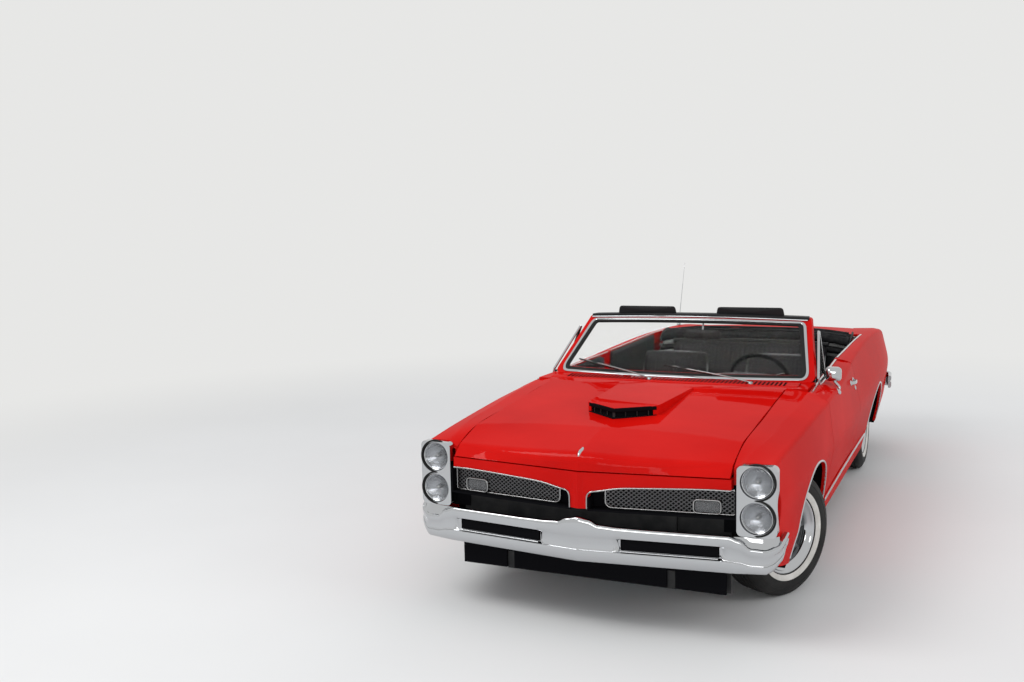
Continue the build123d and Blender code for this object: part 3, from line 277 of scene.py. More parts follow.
def sweep(name, path, section, closed=False, up=UP):
    """A section of (sideways, upward) points carried along a path."""
    path = spots(path)
    last = len(path) - 1
    vertices = []
    for i, point in enumerate(path):
        before = path[i - 1] if closed or i else path[0]
        after = path[(i + 1) % len(path)] if closed or i < last else path[-1]
        along = (after - before).normalized()
        side = along.cross(up)
        side = side.normalized() if side.length > 1e-6 else Vector((1, 0, 0))
        rise = side.cross(along).normalized()
        widen = 1.0
        if (closed or 0 < i < last) and (point - before).length > 1e-9:
            widen = 1 / max(0.5, (point - before).normalized().dot(along))
        vertices += [point + side * (u * widen) + rise * v for u, v in section]
    faces = ring_faces(len(path), len(section), close_rows=closed)
    return add_object(name, vertices, faces if closed else faces + end_faces(len(path), len(section)))


def circle(radius, count=10, squash=1.0):
    """Points of a round section."""
    turns = [2 * math.pi * i / count for i in range(count)]
    return [(radius * math.cos(t), radius * squash * math.sin(t)) for t in turns]


def rounded_box(width, height, radius, steps=3):
    """Points of a rounded rectangle section about its middle."""
    points = []
    for k, (sx, sy) in enumerate(((1, 1), (-1, 1), (-1, -1), (1, -1))):
        for i in range(steps + 1):
            t = math.pi / 2 * (k + i / steps)
            points.append((sx * (width / 2 - radius) + radius * math.cos(t),
                           sy * (height / 2 - radius) + radius * math.sin(t)))
    return points


def rect(x0, x1, z0, z1):
    """Corners of a rectangle."""
    return [(x0, z0), (x1, z0), (x1, z1), (x0, z1)]


def round_corners(points, radii, steps=5):
    """A closed outline with its corners rounded."""
    made = []
    for i, point in enumerate(points):
        here = Vector(point)
        back = (Vector(points[i - 1]) - here).normalized()
        ahead = (Vector(points[(i + 1) % len(points)]) - here).normalized()
        reach = (radii[i] if isinstance(radii, tuple) else radii) / math.tan(back.angle(ahead) / 2)
        first, last = here + back * reach, here + ahead * reach
        for k in range(steps + 1):
            t = k / steps
            made.append((first * (1 - t) ** 2 + here * 2 * t * (1 - t) + last * t * t)[:])
    return made


def smooth_line(places, count):
    """Points along a Catmull-Rom curve through a few places."""
    points = spots(places)
    made = []
    for i in range(len(points) - 1):
        p0, p1, p2, p3 = points[max(i - 1, 0)], points[i], points[i + 1], points[min(i + 2, len(points) - 1)]
        for k in range(count):
            t = k / count
            made.append(0.5 * ((2 * p1) + (p2 - p0) * t + (2 * p0 - 5 * p1 + 4 * p2 - p3) * t * t
                               + (3 * p1 - p0 - 3 * p2 + p3) * t ** 3))
    return made + [points[-1]]


def lathe(name, profile, place, count):
    """A profile of (along axis, radius) points turned about the local x axis of a matrix."""
    vertices = []
    for i in range(count):
        t = 2 * math.pi * i / count
        vertices += [place @ Vector((a, r * math.cos(t), r * math.sin(t))) for a, r in profile]
    return add_object(name, vertices, ring_faces(count, len(profile), close_rows=True, close_columns=False))


def slab(name, outline, depth, place):
    """A flat outline of (x, y) points raised by a depth along local z."""
    vertices = [place @ Vector((x, y, z)) for z in (0, depth) for x, y in outline]
    return add_object(name, vertices, end_faces(2, len(outline)) + ring_faces(2, len(outline)))


def stack(name, outline, layers, place, side=1, middle=0.0, faces=()):
    """Copies of an outline joined up: each layer is (rise, scale), scaled about a middle height."""
    vertices = [on_side(place @ Vector((x * scale, middle + (y - middle) * scale, rise)), side)
                for rise, scale in layers for x, y in outline]
    return add_object(name, vertices, ring_faces(len(layers), len(outline)) + list(faces))


def merge(name, pieces):
    """Joins mesh objects into one piece."""
    with bpy.context.temp_override(active_object=pieces[0], selected_editable_objects=pieces,
                                   object=pieces[0], selected_objects=pieces):
        bpy.ops.object.join()
    pieces[0].name = name
    return pieces[0]


def modify(piece, kind, **settings):
    """Adds a modifier and applies it to the mesh."""
    modifier = piece.modifiers.new(kind.title(), kind)
    for key, value in settings.items():
        setattr(modifier, key, value)
    graph = bpy.context.evaluated_depsgraph_get()
    mesh = bpy.data.meshes.new_from_object(piece.evaluated_get(graph), depsgraph=graph)
    piece.modifiers.clear()
    piece.data = mesh
    return piece


# Finished pieces, which take finish_piece's settings too
def bar(name, path, section, material, closed=False, up=UP, **settings):
    """A finished sweep."""
    return finish_piece(sweep(name, path, section, closed, up), material, **settings)


def turned(name, profile, place, count, material, **settings):
    """A finished lathe form."""
    return finish_piece(lathe(name, profile, place, count), material, **settings)


def turned_set(ending, place, parts, **settings):
    """Turned pieces on one axis, from rows of name, profile, count round, material and smoothing."""
    for name, profile, count, material, smooth in parts:
        turned(f"{name}_{ending}", profile, place, count, material, smooth=smooth, **settings)


def box(name, xs, ys, zs, radius, material, segments=2, **settings):
    """A box between two x, two y and two z, with rounded edges."""
    (x0, x1), (y0, y1) = sorted(xs), ys
    vertices = [spot(x, y, z) for z in zs[::-1] for x, y in ((x0, y0), (x1, y0), (x1, y1), (x0, y1))]
    piece = add_object(name, vertices, end_faces(2, 4) + ring_faces(2, 4))
    modify(piece, "BEVEL", width=radius, segments=segments, limit_method="ANGLE")
    return finish_piece(piece, material, **settings)


# Camera, floor and light
CAMERA_PLACE, CAMERA_TURNS = (1.736, -6.999, 1.900), (-24.98, -6.38, -1.21)
CAMERA_LENS, CAMERA_SENSOR = 36.95, 36
PALE = (0.80, 0.80, 0.79, 1)
FLOOR_REACH, FADE_START, FADE_END = 60, 3.2, 9.0


def place_camera():
    """The photograph's viewing angle, from the fitted place, yaw, pitch and roll."""
    yaw, pitch, roll = (math.radians(a) for a in CAMERA_TURNS)
    forward = Vector((math.sin(yaw) * math.cos(pitch), math.cos(yaw) * math.cos(pitch), math.sin(pitch)))
    right = Vector((math.cos(yaw), -math.sin(yaw), 0))
    up = right.cross(forward)
    side = right * math.cos(roll) + up * math.sin(roll)
    top = up * math.cos(roll) - right * math.sin(roll)
    data = bpy.data.cameras.new("camera")
    data.sensor_width, data.lens, data.clip_end = CAMERA_SENSOR, CAMERA_LENS, 200
    camera = bpy.data.objects.new("camera", data)
    bpy.context.scene.collection.objects.link(camera)
    columns = Matrix((side, top, -forward)).transposed()
    camera.matrix_world = Matrix.Translation(CAMERA_PLACE) @ columns.to_4x4()
    bpy.context.scene.camera = camera


def area_light(name, place, target, size, power):
    """A rectangular lamp that faces a target."""
    data = bpy.data.lights.new(name, "AREA")
    data.shape, data.energy = "RECTANGLE", power
    data.size, data.size_y = size
    lamp = bpy.data.objects.new(name, data)
    bpy.context.scene.collection.objects.link(lamp)
    lamp.location = place
    lamp.rotation_euler = (Vector(target) - Vector(place)).to_track_quat("-Z", "Y").to_euler()
    return lamp


def seen_rays(tree):
    """1 where a camera, glossy or transmission ray looks, else 0."""
    rays = tree.nodes.new("ShaderNodeLightPath")
    value = rays.outputs["Is Camera Ray"]
    for other in ("Is Glossy Ray", "Is Transmission Ray"):
        most = add_node(tree, "ShaderNodeMath", operation="MAXIMUM")
        tree.links.new(value, most.inputs[0])
        tree.links.new(rays.outputs[other], most.inputs[1])
        value = most.outputs[0]
    return value


def mixed(tree, share, first, second, output):
    """Blends two shaders into a material's or world's output."""
    blend = tree.nodes.new("ShaderNodeMixShader")
    for source, socket in ((share, blend.inputs["Fac"]), (first.outputs[0], blend.inputs[1]),
                           (second.outputs[0], blend.inputs[2]),
                           (blend.outputs[0], output.inputs["Surface"])):
        tree.links.new(source, socket)


def build_world():
    """A soft sky that lights the car, with a plain pale backdrop where it is seen or reflected."""
    world = bpy.data.worlds.new("studio")
    bpy.context.scene.world = world
    world.use_nodes = True
    tree = world.node_tree
    tree.nodes.clear()
    light = add_node(tree, "ShaderNodeBackground", Color=(0.94, 0.96, 1.0, 1), Strength=0.75)
    pale = add_node(tree, "ShaderNodeBackground", Color=PALE)
    mixed(tree, seen_rays(tree), light, pale, tree.nodes.new("ShaderNodeOutputWorld"))


def build_floor():
    """A wide plain pale floor that fades into the backdrop away from the car."""
    floor = add_object("floor", [(x, y, 0)
                                 for x, y in rect(-FLOOR_REACH, FLOOR_REACH, -FLOOR_REACH, FLOOR_REACH)],
                       [(0, 1, 2, 3)])
    stone = look("floor", None, (0.70, 0.70, 0.69), 0.8, tones=((0.69, 0.69, 0.68), (0.71, 0.71, 0.70), 0.5),
                 Specular_IOR_Level=0.1)
    tree = stone.node_tree
    glow = add_node(tree, "ShaderNodeEmission", Color=PALE)
    reach = add_node(tree, "ShaderNodeVectorMath", operation="LENGTH")
    fade = add_node(tree, "ShaderNodeMapRange", interpolation_type="SMOOTHSTEP", From_Min=FADE_START,
                    From_Max=FADE_END)
    both = add_node(tree, "ShaderNodeMath", operation="MULTIPLY")
    for source, socket in ((tree.nodes.new("ShaderNodeTexCoord").outputs["Object"], reach.inputs[0]),
                           (reach.outputs["Value"], fade.inputs["Value"]),
                           (fade.outputs["Result"], both.inputs[0]), (seen_rays(tree), both.inputs[1])):
        tree.links.new(source, socket)
    mixed(tree, both.outputs[0], tree.nodes["Principled BSDF"], glow, tree.nodes["Material Output"])
    floor.data.materials.append(stone)
    floor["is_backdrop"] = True


bpy.context.scene.view_settings.view_transform = "Standard"
place_camera()
build_world()
build_floor()
# Lamps: name, place, target, size, power; the fill and the back lamp show in no reflection
for light_row in (("key", (-3.5, -5.5, 7.0), (0, -1, 0.6), (5, 3), 300),
                  ("fill", (7.5, -2.0, 4.5), (0.5, 0, 0.6), (4, 3), 130),
                  ("back", (1.0, 8.0, 6.0), (0, 1, 0.8), (7, 3), 150),
                  ("front", (1.5, -10.0, 2.4), (0.3, -2, 0.6), (5, 2), 90)):
    area_light(*light_row).visible_glossy = light_row[0] in ("key", "front")

# Materials of the CAD nodes
CORNERS = ("front_left", "front_right", "rear_left", "rear_right")
for cad_material, names in (
        (paint, "fender_left fender_right nose_panel hood hood_scoop cowl windshield_frame door_left "
                "door_right rocker_panels quarter_left quarter_right rear_deck trunk_lid tail_panel"),
        # The front valance takes the deep black as painted shade: it stands for the shadow under the front
        # bumper.
        (deep_black, "grille front_valance"), (worn_chrome, "grille_mesh"), (lens_glass, "headlamps"),
        (chrome, "lamp_bezels front_bumper rear_bumper antenna door_mirror"),
        (glass, "windshield_glass vent_window_left vent_window_right"), (red_lens, "tail_lamps"),
        (black_paint, "hinge_pillars chassis_frame firewall inner_fenders radiator rear_wheelhouses "
                      "rear_bulkhead trunk_floor rear_suspension front_suspension wipers"),
        (carpet, "floor_pan"), (engine_blue, "engine"),
        (steel, "fuel_tank exhaust knuckle_left knuckle_right"),
        (dash_plastic, "dashboard steering_wheel console"), (vinyl, "front_seats rear_seat visors"),
        (cloth, "folded_top"), (wheel_silver, " ".join(f"rim_{corner}" for corner in CORNERS)),
        (tyre_rubber, " ".join(f"tyre_{corner}" for corner in CORNERS))):
    for node in (nodes[name] for name in names.split()):
        if not node.material_slots:
            node.data.materials.append(cad_material)
        for material_slot in node.material_slots:
            material_slot.material = cad_material


# Front: nose trim, grille mesh, lamps
NOSE_EDGE = ((0.042, 0.594), (0.042, 0.630), (0.0435, 0.652), (0.052, 0.668), (0.070, 0.6755), (0.105, 0.681),
             (0.197, 0.697), (0.330, 0.7045), (0.555, 0.7135), (0.688, 0.7135))
MESH_CORNERS = (0.034, 0.014, 0.014, 0.08, 0.034)
MESH_OUTLINE = ((0.113, 0.589), (0.704, 0.589), (0.704, 0.703), (0.300, 0.703), (0.113, 0.686))
WIRE_PITCH, WIRE_HALF, WIRE_DEPTH, WIRE_SLOPE = 0.024, 0.0017, 0.004, 0.78
PARK_X, PARK_Z, PARK_WIDTH, PARK_HEIGHT = 0.580, 0.622, 0.122, 0.062
LAMP_X, LAMP_ROWS = 0.799, ((0.752, "upper"), (0.592, "lower"))


def nose_y(x):
    """Place of the swept nose along the car, at one distance from the middle."""
    return NOSE_Y + NOSE_SWEEP * abs(x)


def nose_frame(depth):
    """Matrix of a plane along the left half of the nose: x outward, y up, z toward the front."""
    along = Vector((1, NOSE_SWEEP, 0)).normalized()
    turn = Matrix((along, UP, along.cross(UP))).transposed().to_4x4()
    return Matrix.Translation(spot(0, NOSE_Y + depth, 0)) @ turn


def park_rect(grow):
    """Corners of the parking lamp, grown on every side."""
    wide, high = PARK_WIDTH / 2 + grow, PARK_HEIGHT / 2 + grow
    return rect(PARK_X - wide, PARK_X + wide, PARK_Z - high, PARK_Z + high)


def clip_segment(a, b, outline):
    """The part of a segment inside a convex outline, or None."""
    start, end = 0.0, 1.0
    for p, q in zip(outline, outline[1:] + outline[:1]):
        p, q = Vector(p), Vector(q)
        normal = Vector((-(q - p).y, (q - p).x))
        d0, d1 = normal.dot(a - p), normal.dot(b - p)
        if d0 < 0 and d1 < 0:
            return None
        if d0 < 0:
            start = max(start, d0 / (d0 - d1))
        elif d1 < 0:
            end = min(end, d0 / (d0 - d1))
    return (a + (b - a) * start, a + (b - a) * end) if end - start > 0.01 else None


def wire_spans(outline, slope):
    """Ends of the mesh wires of one direction, clear of the parking lamp."""
    (x0, z0), _, (x1, z1), _ = park_rect(0.004)
    for step in range(-8, 36):
        foot = 0.09 + step * WIRE_PITCH
        ends = [Vector((foot, 0.56)), Vector((foot + 0.2 / slope, 0.76))]
        wire = clip_segment(*(ends if slope > 0 else ends[::-1]), outline)
        if wire is None:
            continue
        steps = [wire[0].lerp(wire[1], t / 60) for t in range(61)]
        cut = [p for p in steps if x0 < p.x < x1 and z0 < p.y < z1]
        for a, b in ((wire[0], cut[0]), (cut[-1], wire[1])) if cut else (wire,):
            if (b - a).length >= 0.004:
                yield a, b, (wire[1] - wire[0]).normalized()


def mesh_wires(name, side):
    """Flat crossing bars of the grille mesh on one side."""
    place = nose_frame(0.052)
    outline = round_corners(MESH_OUTLINE, MESH_CORNERS)
    vertices, faces = [], []
    for slope, back in ((WIRE_SLOPE, 0.0), (-WIRE_SLOPE, -0.0008)):
        for a, b, along in wire_spans(outline, slope):
            across = Vector((-along.y, along.x)) * WIRE_HALF
            start = len(vertices)
            for z, grow in ((0.0, 1.5), (WIRE_DEPTH, 0.6)):
                for p in (a - across * grow, b - across * grow, b + across * grow, a + across * grow):
                    vertices.append(on_side(place @ Vector((p.x, p.y, z + back)), side))
            faces += [tuple(start + i for i in face) for face in end_faces(2, 4) + ring_faces(2, 4)]
    return add_object(name, vertices, faces, weld=False)


def nose_ring(name, outline, depth, section, side):
    """A bright closed bar that follows an outline in the plane of the nose."""
    points = [on_side(nose_frame(depth) @ Vector((x, z, 0)), side) for x, z in outline]
    bar(name, points, section, worn_chrome, closed=True, up=Vector((NOSE_SWEEP * side, -1, 0)).normalized())


PARK_LAYERS = ((0.0, 1.0), (0.004, 1.0), (0.0085, 0.93), (0.0105, 0.72), (0.0115, 0.35), (0.012, 0.0))
LENS_CURVE = [(-0.0015 + 0.0075 * (r / 0.0645) ** 2, r) for r in (0.0005, 0.016, 0.032, 0.048, 0.058, 0.0645)]
LAMP_PARTS = (
    ("lamp_dish", [(0.003 + 0.026 * (1 - (r / 0.064) ** 2), r)
                   for r in (0.064, 0.056, 0.046, 0.034, 0.022, 0.010, 0.001)], 48, reflector, 60),
    ("lamp_ring", ((0.020, 0.0725), (0.002, 0.0725), (-0.001, 0.071), (-0.002, 0.068), (0.000, 0.065),
                   (0.006, 0.0635), (0.020, 0.0635)), 64, chrome, 50),
    ("lamp_cap", ((0.008, 0.0005), (0.009, 0.005), (0.013, 0.009), (0.026, 0.010)), 24, worn_chrome, 60),
    ("lamp_glass", LENS_CURVE + [(a + 0.002, r) for a, r in reversed(LENS_CURVE)], 64, lens_glass, 60),
    ("lamp_seal", ((0.006, 0.0735), (-0.006, 0.0755), (-0.0075, 0.0795), (-0.006, 0.0835), (0.004, 0.084)),
     64, rubber, 50))
for side, word in SIDES:
    bar(f"nose_moulding_{word}", smooth_line([(side * x, nose_y(x) - 0.002, z - 0.003) for x, z in NOSE_EDGE],
                                             5),
        rounded_box(0.007, 0.009, 0.003), worn_chrome, up=FORWARD)
    finish_piece(mesh_wires(f"grille_wires_{word}", side), grille_bright, smooth=0,
                 replaces="grille_mesh" if side > 0 else None)
    nose_ring(f"grille_ring_{word}", round_corners(MESH_OUTLINE, MESH_CORNERS, 8), 0.0495,
              rounded_box(0.0075, 0.010, 0.003), side)
    nose_ring(f"park_ring_{word}", round_corners(park_rect(0), 0.020, 6), 0.0435,
              rounded_box(0.007, 0.014, 0.003), side)
    wide, high = PARK_WIDTH / 2 - 0.0045, PARK_HEIGHT / 2 - 0.0045
    lens_outline = round_corners(rect(-wide, wide, -high, high), 0.016, 6)
    place = nose_frame(0.050) @ Matrix.Translation((PARK_X, PARK_Z, 0))
    finish_piece(stack(f"park_lens_{word}", lens_outline, PARK_LAYERS, place, side), park_glass, smooth=50)
    plate = slab(f"park_back_{word}", lens_outline, 0.002, place)
    plate.data.transform(Matrix.Diagonal((side, 1, 1, 1)))
    finish_piece(plate, park_back, smooth=0)
    for z, row in LAMP_ROWS:
        turned_set(f"{row}_{word}", placed(side * LAMP_X, nose_y(LAMP_X) + 0.006, z, 90), LAMP_PARTS)
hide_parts("headlamps")


# Windshield: trim, header, inside mirror, visors, wipers
GLASS_BASE_Y, GLASS_BASE_Z = 0.660, 0.958
GLASS_RAKE, GLASS_BOW, GLASS_CROWN, CROWN_EASE = 457 / 331, 3.3, 0.014, 0.03
GLASS_NORMAL = Vector((0, -1, GLASS_RAKE)).normalized()
HEADER_HALF, HEADER_CROWN = 0.706, 0.016


def on_glass(x, z, depth=0.0):
    """A point on the bowed windshield frame's front face, moved in by a depth."""
    bow = GLASS_BOW - math.sqrt(GLASS_BOW ** 2 - x * x)
    return spot(x, GLASS_BASE_Y + depth + bow + (z - GLASS_BASE_Z) * GLASS_RAKE, z)


def glass_outline(base, top, low, high, corner):
    """Points round the glass opening, with rounded corners and a crowned upper edge."""
    flat = round_corners([(-base, low), (base, low), (top, high), (-top, high)], corner, 6)
    points = []
    for (x, z), (nx, nz) in zip(flat, flat[1:] + flat[:1]):
        count = 9 if abs(nx - x) > 0.5 else 2
        for t in (k / count for k in range(count)):
            px, pz = x + (nx - x) * t, z + (nz - z) * t
            ease = min(1, max(0, (pz - high + CROWN_EASE) / CROWN_EASE))
            points.append((px, pz + GLASS_CROWN * (1 - (px / top) ** 2) * ease))
    return points


for name, outline, depth, section, material in (
        ("windshield_trim", glass_outline(0.7565, 0.6745, 0.9770, 1.2650, 0.036), -0.001,
         rounded_box(0.020, 0.012, 0.005), chrome),
        ("windshield_seal", glass_outline(0.7385, 0.6565, 0.9885, 1.2555, 0.030), 0.002,
         rounded_box(0.026, 0.012, 0.003), rubber)):
    bar(name, [on_glass(x, z, depth) for x, z in outline], section, material, closed=True, up=GLASS_NORMAL)

# Black header top and its bright front edge: name, height, depth, x in mm, section, material
for name, z, depth, stations, section, material in (
        ("header_cover", 1.284, 0.043, range(-690, 691, 69), rounded_box(0.096, 0.028, 0.010), vinyl),
        ("header_moulding", 1.2795, -0.002, range(-692, 693, 60), rounded_box(0.024, 0.009, 0.003), chrome)):
    bar(name, [on_glass(x / 1000, z + HEADER_CROWN * (1 - (x / 1000 / HEADER_HALF) ** 2), depth)
               for x in stations],
        section, material)

# Black panel from the foot of the glass down to the dash pad
panel_edge = [on_glass(-0.695 + 1.39 * i / 28, 0.9925, 0.012) for i in range(29)]
panel = grid("defroster_panel", [[p + Vector((0, dy, dz))
                                  for dy, dz in ((0, 0), (0.030, -0.002), (0.060, -0.040))]
                                 for p in panel_edge])
finish_piece(modify(panel, "SOLIDIFY", thickness=0.003, offset=-1), dash_plastic, smooth=50)

# Inside mirror on its stem
bar("mirror_stem", smooth_line([(0.06, 1.128, 1.262), (0.06, 1.118, 1.240), (0.06, 1.112, 1.212)], 5),
    circle(0.0048), chrome, smooth=50)
shell_outline = round_corners([(-0.12, -0.028), (0.12, -0.028), (0.112, 0.028), (-0.112, 0.028)], 0.020)
shell_place = placed(0.06, 1.100, 1.189, 97, "X")
finish_piece(stack("mirror_shell", shell_outline, ((-0.004, 1.0), (0.004, 1.0), (0.010, 0.93), (0.016, 0.6),
                                                   (0.018, 0.0)), shell_place),
             black_paint, slot="chrome", smooth=50, replaces="visors")
finish_piece(slab("mirror_glass", [(x * 0.95, y * 0.92) for x, y in shell_outline], 0.001,
                  shell_place @ Matrix.Translation((0, 0, -0.0052))), chrome, smooth=0)

# Sun visors, turned up above the header
VISOR_LAYERS = ((-0.011, 0.0), (-0.0105, 0.9), (-0.007, 0.985), (0.0, 1.0), (0.007, 0.985), (0.0105, 0.9),
                (0.011, 0.0))
for word, low, high in (("right", -0.519, -0.125), ("left", 0.125, 0.552)):
    middle, half = (low + high) / 2, (high - low) / 2
    outline = round_corners([(-half, 0), (half, 0), (half - 0.012, 0.062), (-half + 0.012, 0.062)], 0.020)
    finish_piece(stack(f"visor_{word}", outline, VISOR_LAYERS, placed(middle, 1.186, 1.292, 96, "X"),
                       middle=0.031),
                 vinyl, smooth=50, fill=0.7)
    bar(f"visor_rod_{word}", [(low + 0.04, 1.190, 1.2885), (high - 0.04, 1.190, 1.2885)], circle(0.005, 8),
        chrome, smooth=50)
    box(f"visor_bracket_{word}", (middle - 0.02, middle + 0.02), (1.150, 1.196), (1.281, 1.290), 0.003,
        worn_chrome)


def wiper(name, place, tip):
    """Arm, blade, bridges and cap from a pivot's place to a tip on the glass."""
    pivot = spot(*place)
    knee = pivot.lerp(tip, 0.30) + Vector((0, -0.004, 0.012))
    hold = pivot.lerp(tip, 0.72) + Vector((0, -0.006, 0.010))
    bar(f"{name}_arm", smooth_line([pivot + Vector((0, 0, 0.006)), knee, hold], 6),
        rounded_box(0.011, 0.006, 0.002), worn_chrome, smooth=50)
    start = pivot.lerp(tip, 0.42)
    blade_line = smooth_line([start, start.lerp(tip, 0.5) + Vector((0, -0.002, 0.002)), tip], 8)
    bar(f"{name}_blade", [p + Vector((0, -0.004, 0.004)) for p in blade_line],
        rounded_box(0.006, 0.010, 0.002), rubber, up=GLASS_NORMAL, smooth=50)
    for k, (a, b) in enumerate(((0.08, 0.45), (0.55, 0.92))):
        p, q = start.lerp(tip, a), start.lerp(tip, b)
        bar(f"{name}_bridge_{k}", smooth_line([p, p.lerp(q, 0.5) + GLASS_NORMAL * 0.014, q], 6),
            rounded_box(0.006, 0.003, 0.001), worn_chrome, up=GLASS_NORMAL, smooth=50)
    turned(f"{name}_cap", ((-0.020, 0.014), (0.000, 0.014), (0.008, 0.011), (0.012, 0.0005)),
           placed(*place, -90, "Y"), 24, worn_chrome, smooth=50)


wiper("wiper_right", (-0.127, 0.598, 0.972), on_glass(-0.655, 1.040, -0.010))
wiper("wiper_left", (0.470, 0.592, 0.972), on_glass(-0.085, 1.032, -0.010))
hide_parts("wipers")


# Wheels: tyre with ribbed tread and a narrow white band, five-spoke steel rim, trim ring
WHEEL_X, KINGPIN_X = 0.7385, 0.680
SIDEWALL = ((0.077, 0.1985), (0.084, 0.2005), (0.0895, 0.207), (0.0945, 0.215), (0.0985, 0.225),
            (0.1010, 0.237),
            (0.1020, 0.252), (0.1010, 0.268), (0.0975, 0.283), (0.0925, 0.294), (0.0885, 0.2985),
            (0.0890, 0.3005), (0.0850, 0.3080), (0.0790, 0.3140), (0.0735, 0.3172))
RIBS = (0.0735, 0.0520, 0.0460, 0.0270, 0.0210, 0.0030)
GROOVE_DEPTH, ZIGZAG, TREAD_STEPS = 0.0075, 0.0016, 160
BARREL = ((-0.075, 0.198), (-0.079, 0.193), (-0.074, 0.186), (-0.060, 0.182), (-0.030, 0.160), (0.020, 0.160),
          (0.046, 0.176), (0.066, 0.184), (0.074, 0.190), (0.0795, 0.196), (0.0835, 0.1985), (0.0815, 0.201))
# Stations of a spoke: radius, half width, rise
SPOKE = ((0.044, 0.034, 0.010), (0.070, 0.030, 0.016), (0.100, 0.031, 0.014), (0.130, 0.038, 0.004),
         (0.158, 0.052, -0.010))
SPOKE_FACE = 0.048
TYRE_PARTS = (
    ("white_band", ((0.0898, 0.2090), (0.0912, 0.2080), (0.0950, 0.2150), (0.0990, 0.2250), (0.1012, 0.2340),
                    (0.1006, 0.2362)), 128, whitewall, 60),
    ("tyre_rib", ((0.0985, 0.2795), (0.1002, 0.2785), (0.1010, 0.2760), (0.0995, 0.2745)), 128, tyre_rubber,
     60))
RIM_PARTS = (
    ("trim_ring", ((0.0800, 0.2045), (0.0865, 0.2040), (0.0885, 0.2000), (0.0870, 0.1955), (0.0800, 0.1900),
                   (0.0720, 0.1840), (0.0690, 0.1770), (0.0600, 0.1690), (0.0480, 0.1640), (0.0400, 0.1625)),
     128, chrome, 50),
    ("hub_cap", ((0.052, 0.036), (0.062, 0.035), (0.070, 0.031), (0.074, 0.022), (0.0745, 0.010),
                 (0.073, 0.0005)),
     48, chrome, 50),
    ("brake_drum", ((-0.060, 0.125), (0.018, 0.125), (0.022, 0.120), (0.024, 0.060), (0.030, 0.036),
                    (0.030, 0.0320)), 60, steel, 40))


def wheel_matrix(side, front):
    """Local x is the axle, pointing outward, and the origin is the middle of the wheel."""
    flip = Matrix.Rotation(math.radians(OUTWARD[side]), 4, "Z")
    if front:
        reach = Matrix.Translation((side * (WHEEL_X - KINGPIN_X), 0, 0))
        return placed(side * KINGPIN_X, 0, AXLE_Z, STEER_AT_REST) @ reach @ flip
    return placed(side * WHEEL_X, WHEELBASE, AXLE_Z) @ flip


def make_tyre(name, place):
    """A tyre turned from its section, with zigzag grooves in the tread."""
    tread = []
    for k, a in enumerate(RIBS):
        top = 0.3172 + 0.0026 * (1 - (a / 0.0735) ** 2)
        pair = [(a, top - GROOVE_DEPTH, 1), (a, top, 1)]
        tread += pair[::-1] if k % 2 else pair
    half = [(a, r, 0) for a, r in SIDEWALL] + tread[1:]
    profile = half + [(-a, r, z) for a, r, z in reversed(half)]
    vertices = []
    for i in range(TREAD_STEPS):
        t = 2 * math.pi * i / TREAD_STEPS
        for a, r, zigzag in profile:
            shift = ZIGZAG * (1 if (i // 2) % 2 else -1) if zigzag and abs(a) < 0.07 else 0
            vertices.append(place @ Vector((a + shift, r * math.cos(t), r * math.sin(t))))
    return add_object(name, vertices, ring_faces(TREAD_STEPS, len(profile), close_rows=True,
                                                 close_columns=False))


def make_rim(name, place):
    """Pressed steel wheel: barrel, band, hub and five broad spokes with raised edges."""
    f = SPOKE_FACE
    parts = [lathe(f"{name}_barrel", BARREL, place, 96),
             lathe(f"{name}_band", ((0.024, 0.162), (0.034, 0.150), (0.040, 0.140), (0.030, 0.138),
                                    (0.020, 0.160)),
                   place, 96),
             lathe(f"{name}_hub", ((f - 0.02, 0.060), (f + 0.008, 0.058), (f + 0.011, 0.050),
                                   (f + 0.008, 0.044), (f + 0.012, 0.036)), place, 60)]
    for k in range(5):
        turn = place @ Matrix.Rotation(math.radians(90 + 72 * k), 4, "X")
        rows = []
        for r, w, rise in SPOKE:
            half = [(w + 0.004, -0.016), (w + 0.001, 0.001), (w - 0.003, 0.005), (w - 0.009, 0.002),
                    (w * 0.5, -0.003)]
            section = [(-u, v) for u, v in half] + [(0, -0.0045)] + half[::-1]
            rows.append([turn @ Vector((f + rise + v, r, u)) for u, v in section])
        parts.append(grid(f"{name}_spoke_{k}", rows))
    return merge(name, parts)


def wheel_nuts(name, place):
    """Five hexagon nuts round the hub."""
    profile = ((-0.004, 0.0095), (0.012, 0.0095), (0.016, 0.006), (0.018, 0.0005))
    return merge(name, [lathe(f"{name}_{k}", profile,
                              place @ Matrix.Rotation(math.radians(54 + 72 * k), 4, "X")
                              @ Matrix.Translation((0.057, 0.048, 0)), 6) for k in range(5)])


for corner in CORNERS:
    body = f"wheel_{corner}"
    place = wheel_matrix(1 if "left" in corner else -1, "front" in corner)
    finish_piece(make_tyre(f"tread_{corner}", place), tyre_rubber, body, smooth=35, replaces=f"tyre_{corner}")
    finish_piece(make_rim(f"wheel_disc_{corner}", place), wheel_grey, body, smooth=40,
                 replaces=f"rim_{corner}")
    finish_piece(wheel_nuts(f"wheel_nuts_{corner}", place), chrome, body, "wheel_metal")
    turned_set(corner, place, TYRE_PARTS, body=body)
    turned_set(corner, place, RIM_PARTS, body=body, slot="wheel_metal")


# Sides: mouldings, handles, locks
TREES = {}


def tree_of(name):
    """Ray-cast tree of a CAD node."""
    if name not in TREES:
        mesh = nodes[name].data
        TREES[name] = BVHTree.FromPolygons([v.co for v in mesh.vertices], [p.vertices for p in mesh.polygons])
    return TREES[name]


